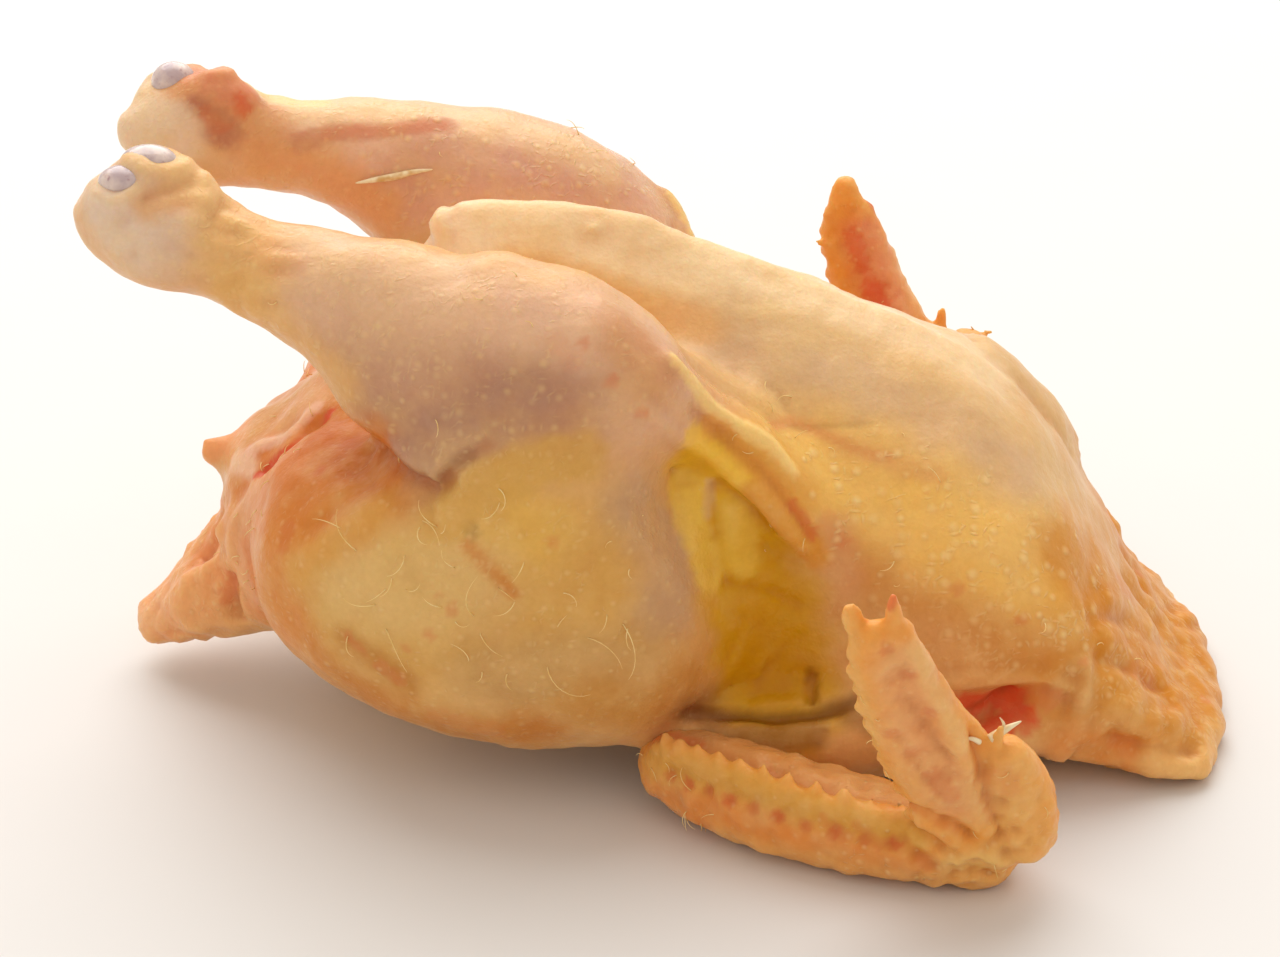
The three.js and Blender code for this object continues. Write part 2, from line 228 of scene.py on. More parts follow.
def closed_skin(at, rings, sides):
    """A closed mesh over a surface: rings across it, closer together towards its ends, and a fan of
    triangles to the middle of the first and of the last ring."""
    share = 0.5 - 0.5 * np.cos(np.pi * (np.arange(rings) + 0.5) / rings)
    angle = 2 * np.pi * np.arange(sides) / sides
    ring = at(*np.meshgrid(share, angle, indexing="ij"))
    points = np.vstack([ring.reshape(-1, 3), ring[0].mean(0), ring[-1].mean(0)])
    near = np.arange(rings * sides).reshape(rings, sides)
    far = np.roll(near, -1, axis=1)
    quads = np.stack([near[:-1], far[:-1], far[1:], near[1:]], -1).reshape(-1, 4)
    first, last = rings * sides, rings * sides + 1
    fans = np.vstack([np.stack([np.full(sides, first), far[0], near[0]], -1),
                      np.stack([np.full(sides, last), near[-1], far[-1]], -1)])
    return points, quads, fans


def ball(centre, radii, rings=16, sides=24):
    """A ball stretched to three radii, its axis along z."""
    def at(share, angle):
        polar = np.pi * share
        return np.stack([radii[0] * np.sin(polar) * np.cos(angle), radii[1] * np.sin(polar) * np.sin(angle),
                         -radii[2] * np.cos(polar)], -1) + centre
    return closed_skin(at, rings, sides)


def joined(parts):
    """Several meshes as one: points, quads and triangles with their numbers moved on."""
    starts = np.cumsum([0] + [len(points) for points, _, _ in parts])
    return (np.vstack([points for points, _, _ in parts]),
            np.vstack([quads + start for (_, quads, _), start in zip(parts, starts)]),
            np.vstack([fans + start for (_, _, fans), start in zip(parts, starts)]))


def mesh_object(name, points, quads, fans=()):
    """A mesh object from points in millimetres, quads and triangles."""
    fans = np.asarray(fans, int).reshape(-1, 3)
    mesh = bpy.data.meshes.new(name)
    mesh.vertices.add(len(points))
    mesh.vertices.foreach_set("co", (np.asarray(points, float) * MM).ravel())
    mesh.loops.add(quads.size + fans.size)
    mesh.loops.foreach_set("vertex_index", np.concatenate([quads.ravel(), fans.ravel()]).astype(np.int32))
    mesh.polygons.add(len(quads) + len(fans))
    starts = np.concatenate([np.arange(len(quads)) * 4, quads.size + np.arange(len(fans)) * 3])
    mesh.polygons.foreach_set("loop_start", starts.astype(np.int32))
    mesh.update(calc_edges=True)
    mesh.shade_smooth()
    piece = bpy.data.objects.new(name, mesh)
    bpy.context.scene.collection.objects.link(piece)
    return piece


def finished(piece):
    """A piece's points in millimetres and its quads once its modifiers have run; it is then removed."""
    made = bpy.data.meshes.new_from_object(piece.evaluated_get(bpy.context.evaluated_depsgraph_get()))
    points = np.empty(len(made.vertices) * 3)
    made.vertices.foreach_get("co", points)
    corners = np.empty(len(made.loops), np.int32)
    made.loops.foreach_get("vertex_index", corners)
    bpy.data.objects.remove(piece)
    bpy.data.meshes.remove(made)
    return points.reshape(-1, 3) / MM, corners.reshape(-1, 4)


def voxel_skin(parts, voxel):
    """One closed skin over all the parts: their union, remade from cubes of the voxel size."""
    rough = mesh_object("rough", *joined(parts))
    remesh = rough.modifiers.new("voxels", "REMESH")
    remesh.mode = "VOXEL"
    remesh.voxel_size = voxel * MM
    return finished(rough)


def halved(points, quads):
    """The same skin with every quad split in four and smoothed as a subdivision surface."""
    coarse = mesh_object("coarse", points, quads)
    split = coarse.modifiers.new("split", "SUBSURF")
    split.levels = split.render_levels = 1
    return finished(coarse)


def relaxed(points, quads, weight, rounds, strength=0.5):
    """The points after rounds of moving each one towards the mean of its neighbours."""
    ends = np.concatenate([quads, np.roll(quads, 1, 1)]).ravel()
    others = np.concatenate([np.roll(quads, -1, 1), np.roll(quads, 2, 1)]).ravel()
    count = np.bincount(ends, minlength=len(points))[:, None]
    for _ in range(rounds):
        mean = np.stack([np.bincount(ends, points[others, k], len(points)) for k in range(3)], 1) / count
        points = points + strength * weight[:, None] * (mean - points)
    return points


def normals_of(points, quads):
    """Each point's normal: the mean of the normals of the quads round it, weighted by their areas."""
    a, b, c, d = (points[quads[:, k]] for k in range(4))
    face = np.cross(c - a, d - b)
    total = np.stack([np.bincount(quads.ravel(), np.repeat(face[:, k], 4), len(points))
                      for k in range(3)], 1)
    return unit(total)


DISTANCES_AT_ONCE = 4_000_000    # bounds the memory that a search takes


def nearest_of(points, centres):
    """The number of the nearest centre to each point, and its distance."""
    number = np.empty(len(points), int)
    distance = np.empty(len(points))
    squares = (centres**2).sum(1)
    batch = max(1, DISTANCES_AT_ONCE // len(centres))
    for start in range(0, len(points), batch):
        block = points[start:start + batch]
        gap = squares - 2 * block @ centres.T
        number[start:start + batch] = gap.argmin(1)
        distance[start:start + batch] = np.sqrt(np.maximum(gap.min(1) + (block**2).sum(1), 0))
    return number, distance


def laid(skin, line, reach=15):
    """A line moved onto a skin: each of its points goes to the tangent plane of the skin's nearest
    point, and the whole line stays where it is if no skin is within reach of it. A skin is its points
    and their normals."""
    points, normals = skin
    around = np.flatnonzero(((points > line.min(0) - reach) & (points < line.max(0) + reach)).all(1))
    if not len(around):
        return line
    nearest = around[nearest_of(line, points[around])[0]]
    gap = ((line - points[nearest]) * normals[nearest]).sum(1, keepdims=True)
    return line - gap * normals[nearest]


STEPS_PER_POINT = 10    # places at which a path is measured, for each point that it is given by


def reach_of(skin, path, sides, reach):
    """Each skin point's distance to a path, which is given for the left side and is mirrored for the
    right one, and the share along the path of the place it is nearest to. Past the reach the distance
    is the reach."""
    points = skin[0]
    distance = np.full(len(points), float(reach))
    share = np.zeros(len(points))
    for side in sides:
        line = np.array(path, float) * (1, -side, 1)
        if len(line) > 1:
            line = curve(line, np.linspace(0, 1, STEPS_PER_POINT * len(line)))
        line = laid(skin, line)
        near = np.flatnonzero(((points > line.min(0) - reach) & (points < line.max(0) + reach)).all(1))
        number, found = nearest_of(points[near], line)
        closer = found < distance[near]
        distance[near[closer]] = found[closer]
        share[near[closer]] = number[closer] / max(len(line) - 1, 1)
    return distance, share


BELL_REACH = 3         # widths from its path at which a stroke ends
END_FADE = 0.15        # share of its length over which a stroke fades at each end
END_STRENGTH = 0.03    # how far into that fade it starts


def stroke(skin, path, width, sides=SIDES):
    """A bell round a path: 1 on it, falling off with the distance over the width, and fading over the
    first and last seventh of its length."""
    distance, share = reach_of(skin, path, sides, BELL_REACH * width)
    bell = np.exp(-(distance / width) ** 2) - np.exp(-BELL_REACH**2)
    if len(path) > 1:
        start = smoothstep(0, END_FADE, share + END_STRENGTH)
        end = smoothstep(0, END_FADE, 1 + END_STRENGTH - share)
        bell *= start * end
    return bell


PATCH_REACH = 2    # widths from its path past which a patch is nowhere


def patch(skin, path, width, sides, raggedness=0, seed=0, full=0.66, gone=1.33):
    """A patch round a path: full and gone are where it ends, as shares of the width, and ripples make
    its edge ragged."""
    distance, _ = reach_of(skin, path, sides, PATCH_REACH * width)
    inside = distance < PATCH_REACH * width
    wander = raggedness * np.clip(ripples(skin[0][inside], width * 0.7, seed), -1, 1)
    share = np.zeros(len(distance))
    share[inside] = 1 - smoothstep(full, gone, distance[inside] / width + wander)
    return share


def with_sides(rows):
    """A table's rows, each with its sides: a row that ends with its path is on both."""
    return [row if isinstance(row[-1], tuple) else (*row, SIDES) for row in rows]


def nearness(points, table, side, low=1.0, high=1.5):
    """1 on a limb's own surface and inside it, 0 where the distance to its spine passes high half
    sizes."""
    place, size = places(table, side)
    share = np.linspace(0, 1, 60)
    spine, half = curve(place, share), curve(size, share).mean(-1)
    ratio = np.sqrt(((points[:, None] - spine) ** 2).sum(-1)) / half
    return 1 - smoothstep(low, high, ratio.min(1))


def ripples(points, wavelength, seed, stretch=(1, 1, 1), count=24):
    """Smooth noise of about unit size: a sum of seeded sine waves of one wavelength in all
    directions. Stretch lengthens the waves along an axis."""
    draw = np.random.default_rng(seed)
    heading = unit(draw.normal(size=(count, 3))) / np.array(stretch)
    phase = draw.uniform(0, 2 * np.pi, count)
    pitch = 2 * np.pi / (wavelength * draw.uniform(0.75, 1.35, count))
    return np.sin((points @ heading.T) * pitch + phase).sum(1) / np.sqrt(count / 2)


# ---- The body's skin -----------------------------------------------------------------------------

# Creases, ridges and hollows of the body: rise in mm, less than 0 where it sinks, width in mm and the
# path on the left side. A row of any table ends with its side if only one side has it.
BODY_STROKES = [
    # the drumstick lies over the thigh and over the skin beside the vent
    (-3.0, 6.0, [(-66, -44, 82), (-56, -56, 82), (-48, -64, 81), (-42, -68, 84)]),
    (1.4, 4.5, [(-72, -40, 100), (-60, -54, 96), (-50, -63, 92), (-43, -68, 91), (-38, -68, 97),
        (-28, -69, 105)]),
    (-3.0, 2.0, [(-66, -45, 86), (-57, -57, 87), (-49, -64, 86), (-42, -69, 86), (-38, -68, 91)]),
    (-1.0, 2.0, [(-42, -69, 87), (-38, -68, 92), (-34, -69, 96), (-29, -69, 99)]),
    # the fold of skin from the knee to the flank: its ridge, its groove and its lower lip
    (1.9, 2.6, [(6, -56, 116), (11, -55, 112), *KNEE_RIDGE, (36, -48, 85), (42, -49, 78)]),
    (-1.4, 3.0, [(12, -44, 112), (20, -41, 105), (28, -39, 98), (38, -38, 90)]),
    (-1.6, 2.2, [(14, -56, 103), (19, -53, 96), (25, -51, 89), (31, -50, 83), (37, -51, 75),
        (44, -50, 64)]),
    (1.3, 2.4, [(12, -56, 95), (17, -52, 90), (22, -51, 85), (27, -53, 80), (33, -52, 74), (39, -52, 66),
        (44, -50, 60)]),
    (-1.3, 1.8, [(19, -50, 81), (24, -51, 77), (29, -50, 73), (34, -51, 66)]),
    (0.9, 1.6, [(1, -66, 108), (8, -62, 101), (14, -55, 91)]),
    # the fat that shows through behind the thigh hangs in soft lobes
    (0.9, 3.0, [(14, -50, 80), (15, -53, 73), (15, -58, 64)]),
    (0.8, 3.0, [(24, -50, 75), (25, -51, 69), (26, -51, 63)]),
    (-0.8, 1.6, [(20, -50, 80), (20, -52, 73), (21, -53, 66)]),
    (-1.0, 2.2, [(22, -55, 57), (27, -52, 54), (34, -50, 51), (42, -50, 46)]),
    (1.4, 7.0, [(26, -56, 38), (34, -53, 33)]),
    (-1.6, 1.2, FAT_NICK),
    (-2.8, 2.2, [(12, -62, 26), *UNDER_FAT]),
    # the edge of the thigh towards the vent
    (1.0, 3.0, [(-54, -63, 82), (-60, -64, 76), (-68, -64, 70), (-76, -61, 62)]),
    (-0.9, 3.0, [(-58, -56, 83), (-66, -58, 75), (-74, -56, 66)]),
    # breast: the two muscles stand a little proud of the keel's skin, and fine veins cross them
    (1.2, 4.0, [(-50, 0, 118), (-28, 0, 128), (0, 0, 123), (30, 0, 112), (60, 0, 100), (84, 0, 86)]),
    (-0.5, 4.0, [(-40, -8, 120), (-15, -9, 121), (8, -10, 115), (30, -12, 108)]),
    *[(-0.3, 1.5, vein, LEFT_ONLY) for vein in BREAST_VEINS],
    (1.8, 1.6, [(-11, -3, 122)], LEFT_ONLY),
    (2.4, 5.0, [(-50, -1, 121), (-45, -2, 124)]),
    (3.4, 9.0, [(80, -18, 88), (98, -20, 75), (112, -22, 54)], RIGHT_ONLY),
    (-1.2, 3.0, [(82, -6, 88), (98, -7, 76), (110, -8, 60)], RIGHT_ONLY),
    # the cut under the wing, and the thin edge of skin over it
    (-4.4, 4.6, [(72, -58, 25), (80, -58, 26), (88, -58, 26), (96, -57, 26)]),
    (-3.0, 2.2, [(76, -58, 21), (84, -57, 24), (92, -56, 29)]),
    (2.2, 1.9, [(74, -58, 33), (82, -58, 34), (90, -57, 34), (98, -56, 33), (107, -54, 29)]),
    (1.4, 1.5, [(108, -52, 37), (108, -53, 31), (106, -54, 25)]),
    (2.6, 5.0, [(88, -58, 18), (96, -58, 15), (106, -56, 10)]),
    # the neck's skin lies in loose folds
    (-1.8, 3.0, [(108, -45, 44), (116, -36, 40), (124, -22, 32)]),
    (-1.6, 2.6, [(109, -48, 36), (119, -42, 29), (131, -34, 16)]),
    (-1.5, 2.6, [(119, -8, 37), (127, -6, 25), (137, -8, 12)]),
    (1.5, 4.0, [(112, -52, 26), (122, -50, 19), (135, -40, 11)]),
    (-1.8, 2.6, [(112, -53, 16), (124, -51, 12), (138, -44, 7)]),
    (1.8, 3.5, [(98, -56, 6), (112, -54, 6), (128, -50, 5), (142, -42, 4)]),
    # the vent: its cut, the lips of it, the stretched rim and the folds beside it
    (-3.0, 1.7, VENT_CUT, LEFT_ONLY),
    (1.4, 1.8, VENT_LIP, LEFT_ONLY),
    (1.0, 2.2, [(-90, -21, 66), (-94, -23, 59), (-98, -23, 51), (-99, -24, 44), (-95, -27, 36)]),
    (-2.5, 4.0, [(-101, -10, 50), (-107, -10, 42), (-112, -10, 34)]),
    (1.6, 2.2, [(-100, -17, 50), (-106, -17, 40), (-112, -15, 32), (-119, -11, 24)]),
    (-2.2, 2.2, [(-99, -24, 38), (-99, -23, 31), (-98, -19, 24)]),
    # the lump of gristle and the cuffs of skin round the cut hocks
    (-1.0, 2.0, [(-113, -40, 143), (-106, -37, 145), (-101, -34, 147), (-99, -26, 149)]),
    (-0.8, 2.2, [(-96, -38, 138), (-93, -32, 141), (-92, -24, 142)]),
    (1.0, 3.0, [(-120, -42, 135), (-108, -43, 138), (-99, -40, 138)]),
    (1.2, 1.6, [(-124, -36, 143), (-118, -41, 144), (-112, -39, 147), (-112, -33, 149), (-118, -30, 148)]),
    (1.2, 1.8, [(-117, -30, 149), (-110, -36, 149), (-102, -32, 151), (-102, -25, 151), (-112, -24, 151)]),
]

# Loose skin is uneven: height and length of its ripples in mm, how far they are drawn out along each
# axis, and the width and path of the area that has them.
EVEN = (1, 1, 1)
BODY_RIPPLES = [
    (0.30, 19, EVEN, 400, [(0, -40, 60)]),
    (0.07, 6, EVEN, 400, [(0, -40, 60)]),
    (0.30, 13, EVEN, 26, [(114, -40, 30), (128, -32, 16), (134, -10, 14)]),
    (0.22, 5, (1, 1, 1.6), 22, [(112, -45, 26), (128, -36, 14), (134, -8, 14)]),
    (0.35, 7, EVEN, 20, [(-104, -12, 34), (-120, -6, 20)]),
    (0.16, 3.2, EVEN, 16, [(-106, -12, 32), (-122, -6, 18)]),
    (0.30, 9, (1, 1.5, 2), 18, [(-84, -22, 68), (-90, -26, 46)]),
    (0.30, 12, (1, 1, 2.4), 15, [(22, -52, 74), (28, -53, 50), (32, -54, 30)]),
    (0.26, 7, (1.5, 1, 1), 15, [(-120, -34, 138), (-104, -34, 136)]),
    (0.22, 5, (2.2, 1, 1), 12, [(-96, -32, 130), (-80, -36, 122)]),
]


RIPPLE_SEED, MARK_SEED, DOT_SEED, HAIR_SEED = 40, 90, 140, 200    # each table counts on from its own


def sculpted(points, quads, strokes, swells):
    """A skin pushed out or in along its normals, stroke by stroke, and then rippled."""
    for rise, width, path, sides in with_sides(strokes):
        normals = normals_of(points, quads)
        points = points + normals * (rise * stroke((points, normals), path, width, sides))[:, None]
    normals = normals_of(points, quads)
    push = sum(height * patch((points, normals), path, width, sides)
               * ripples(points, length, RIPPLE_SEED + number, stretch)
               for number, (height, length, stretch, width, path, sides) in enumerate(with_sides(swells)))
    points = points + normals * push[:, None]
    points[:, 2] = np.maximum(points[:, 2], 0)
    return points


FINISH = 0.6    # how far each point goes towards its neighbours once a skin is sculpted


def body_mesh():
    """The body's skin: trunk, tail, legs and upper wings as one, softened, webbed and sculpted."""
    parts = [closed_skin(trunk_surface, 160, 160)]
    parts += [closed_skin(limb_surface(table, LEFT), rings, rings) for table, rings in LONE_LIMBS]
    parts += [closed_skin(limb_surface(table, side, **form), 72, 64)
              for side in SIDES for table, form in BODY_LIMBS]
    parts += [ball(np.array(place) * (1, -side, 1), radii)
              for sides, place, radii in HOCK_KNOBS for side in sides]
    points, quads = voxel_skin(parts, BODY_VOXEL)

    # all joints are rounded, less so near the table and where the skin is thin
    table_edge = 0.2 + 0.8 * smoothstep(-2, 12, points[:, 2])
    thin = np.maximum(nearness(points, VENT_TAB, LEFT), 0.8 * nearness(points, TAIL, LEFT, 1.0, 1.6))
    points = relaxed(points, quads, (1 - 0.85 * thin) * table_edge, rounds=8)

    # skin stretches in webs between the forms, but lies close to the upper wings
    keep = sum(nearness(points, UPPER_WING, side, 1.3, 1.9) for side in SIDES)
    skin = points, normals_of(points, quads)
    webs = sum(stroke(skin, path, width) for width, path in WEBS)
    points = relaxed(points, quads, np.clip(webs - keep, 0, 1), rounds=60)

    points, quads = halved(points, quads)
    points = sculpted(points, quads, BODY_STROKES, BODY_RIPPLES)
    return relaxed(points, quads, np.full(len(points), FINISH), rounds=1), quads


# ---- The wings' skin -----------------------------------------------------------------------------

# The cut tips of the hand and of the thumb end in short prongs: sides, and sections like a limb's.
PRONGS = [
    (LEFT_ONLY, [(62, -111, 72, 3, 2.5, -8, 6), (61, -112, 79, 2.2, 2, -8, 4),
        (60, -113, 87, 0.9, 0.9, -8, 1)]),
    (LEFT_ONLY, [(54, -110, 72, 3, 2.8), (52, -111, 79, 2.7, 2.2), (51.5, -112, 83, 1.9, 1.6)]),
    (SIDES, [(82, -102, 38, 3, 3, -6, 7), (84, -104, 44, 2, 2, -7, 7),
        (86, -105, 50, 0.9, 0.9, -9, 7)]),
    (SIDES, [(80, -103, 36, 3, 2.6, -6, 7), (79, -105, 43, 2.4, 2.2, -7, 7),
        (78, -106, 46, 1.4, 1.4, -7, 7)]),
    (RIGHT_ONLY, [(60, -110, 70, 6, 3.5, -8, 6), (58, -111, 78, 5, 3, -8, 6),
        (57, -112, 86, 2.5, 1.8, -8, 5)]),
    (RIGHT_ONLY, [(47, -109, 80, 1.2, 1.2), (45, -109, 80, 0.8, 0.8), (43, -109, 81, 0.5, 0.5)]),
    (RIGHT_ONLY, [(46, -107, 73, 1.2, 1.2), (44, -107, 73, 0.8, 0.8), (42, -107, 74, 0.5, 0.5)]),
    (RIGHT_ONLY, [(84, -105, 46, 1.2, 1.2), (88, -105, 48, 0.9, 0.9), (91, -105, 49, 0.5, 0.5)]),
]

# A roll of skin runs along the forearm with a tooth over each feather stub, and ribs cross the wrist.
# Each is a tube over the forearm: its angle above the outward side in degrees, its height over the
# forearm as a factor, its half thickness in mm and its place along the forearm, as a share.
STUB_ROLL = np.array([(52, 0.86, 1.5, 0.04), (54, 0.92, 3.2, 0.14), (54, 0.94, 3.6, 0.30),
                      (52, 0.95, 3.6, 0.50), (48, 0.93, 3.4, 0.66), (36, 0.86, 2.0, 0.84)])
STUB_TOOTH = np.array([(74, 1.36, 0.5, -0.020), (67, 1.28, 1.3, -0.012), (57, 1.16, 1.6, 0.0),
                       (44, 1.04, 1.2, 0.008)])
WRIST_RIB = np.array([(58, 1.08, 1.5, -0.02), (36, 1.04, 1.9, 0.02), (14, 1.01, 1.7, 0.06),
                      (-8, 0.92, 1.1, 0.10)])
STUB_PLACES = np.linspace(0.13, 0.68, 11)
WRIST_PLACES = np.linspace(0.70, 0.86, 4)
FRINGE_PLACES = np.linspace(0.26, 0.93, 13)

FOREARM_SQUARENESS = 2.5

# Pits in the skin under the row of stubs, one below each gap.
PIT_ANGLE = np.radians(18)
PIT_PLACES = (STUB_PLACES[:-1] + STUB_PLACES[1:]) / 2 + 0.012
PIT_SPOTS = [tuple(tube_surface(*places(FOREARM, LEFT), FOREARM_SQUARENESS)(share, np.pi - PIT_ANGLE))
             for share in PIT_PLACES]

WING_STROKES = [
    # pits under the roll
    *[(-0.9, 1.6, [spot]) for spot in PIT_SPOTS],
    # the crease between hand and thumb, and the one where the hand folds back on the forearm
    (-2.4, 1.8, [(78, -106, 51), (81, -107, 42), (83, -106, 31), (86, -104, 22), (87, -103, 16)]),
    (-2.0, 1.6, [(60, -92, 24), (67, -104, 27), (75, -105, 23), (82, -103, 17)]),
    (1.2, 2.2, [(60, -92, 20), (67, -103, 22), (75, -104, 18), (81, -103, 13)]),
    # the small fold of skin at the wrist
    (1.8, 1.5, [(76, -101, 10), (80, -103, 15), (84, -102, 14), (88, -100, 10)]),
    (-1.4, 1.4, [(76, -100, 7), (81, -101, 8), (88, -99, 6)]),
    # the trough behind the stub row
    (-1.6, 2.6, [(11, -66, 21), (20, -73, 22), (32, -80, 22), (44, -86, 21), (56, -90, 20)]),
    # the hand is hollow in the middle and its edges stand
    (-1.6, 4.5, [(62, -113, 70), (66, -112, 56), (70, -110, 44), (74, -108, 34)]),
    (0.9, 1.8, [(65, -113, 73), (70, -111, 60), (76, -109, 47), (80, -107, 36)]),
    (-0.9, 1.3, [(64, -112, 60), (69, -110, 50), (75, -108, 40)]),
    (-0.9, 1.3, [(62, -110, 50), (67, -109, 40), (74, -107, 31)]),
]
WING_RIPPLES = [
    (0.25, 8, EVEN, 400, [(60, -95, 30)]),
    (0.09, 3, EVEN, 400, [(60, -95, 30)]),
    (0.30, 4, EVEN, 16, [(92, -98, 16), (80, -103, 12)]),
]


def rib(side, share, profile):
    """A tube of skin over the forearm, its profile's places counted from a share of the way along."""
    angle, lift, thick, lean = profile.T
    place, size = places(FOREARM, side)
    here = np.clip(share + lean, 0.01, 0.99)
    angle = np.radians(angle)
    skin = tube_surface(place, size, FOREARM_SQUARENESS)(here, angle if side == RIGHT else np.pi - angle)
    spine = curve(place, here)
    return tube_surface(spine + (skin - spine) * lift[:, None], np.stack([thick, thick], 1), exponent=2,
                        round_end=0.25, up=(1, 0, 0))


def wing_mesh(side):
    """One wing's skin: forearm, hand and thumb as one, with prongs, the row of stubs and the fringe."""
    parts = [closed_skin(limb_surface(table, side, **form), 72, 64) for table, form in WING_LIMBS]
    parts += [closed_skin(limb_surface(table, side, up=SIDEWAYS), 16, 14)
              for sides, table in PRONGS if side in sides]
    parts += [closed_skin(rib(side, 0, STUB_ROLL), 48, 24)]
    parts += [closed_skin(rib(side, share, STUB_TOOTH), 16, 12) for share in STUB_PLACES]
    parts += [closed_skin(rib(side, share, WRIST_RIB), 14, 12) for share in WRIST_PLACES]
    hand = limb_surface(HAND, side, up=SIDEWAYS, exponent=2.4)
    toward_tail = np.pi if side == LEFT else 0
    draw = np.random.default_rng(9 + side)
    smallest, largest = (1.3, 1.2, 1.4), (2.2, 1.7, 2.3)
    parts += [ball(hand(share, toward_tail), draw.uniform(smallest, largest), 10, 12)
              for share in FRINGE_PLACES]
    points, quads = voxel_skin(parts, WING_VOXEL)
    points = relaxed(points, quads, np.ones(len(points)), rounds=3)
    points = sculpted(points, quads, WING_STROKES, WING_RIPPLES)
    return relaxed(points, quads, np.full(len(points), FINISH), rounds=1), quads


# ---- Colour, follicles and marks, worked out for each point of a skin ----------------------------


def linear(code):
    """A colour given as sRGB hex, as linear light."""
    value = np.array([int(code[k:k + 2], 16) for k in (1, 3, 5)]) / 255
    return np.where(value <= 0.04045, value / 12.92, ((value + 0.055) / 1.055) ** 2.4)


GOLDEN_SKIN = "#e3ad6c"

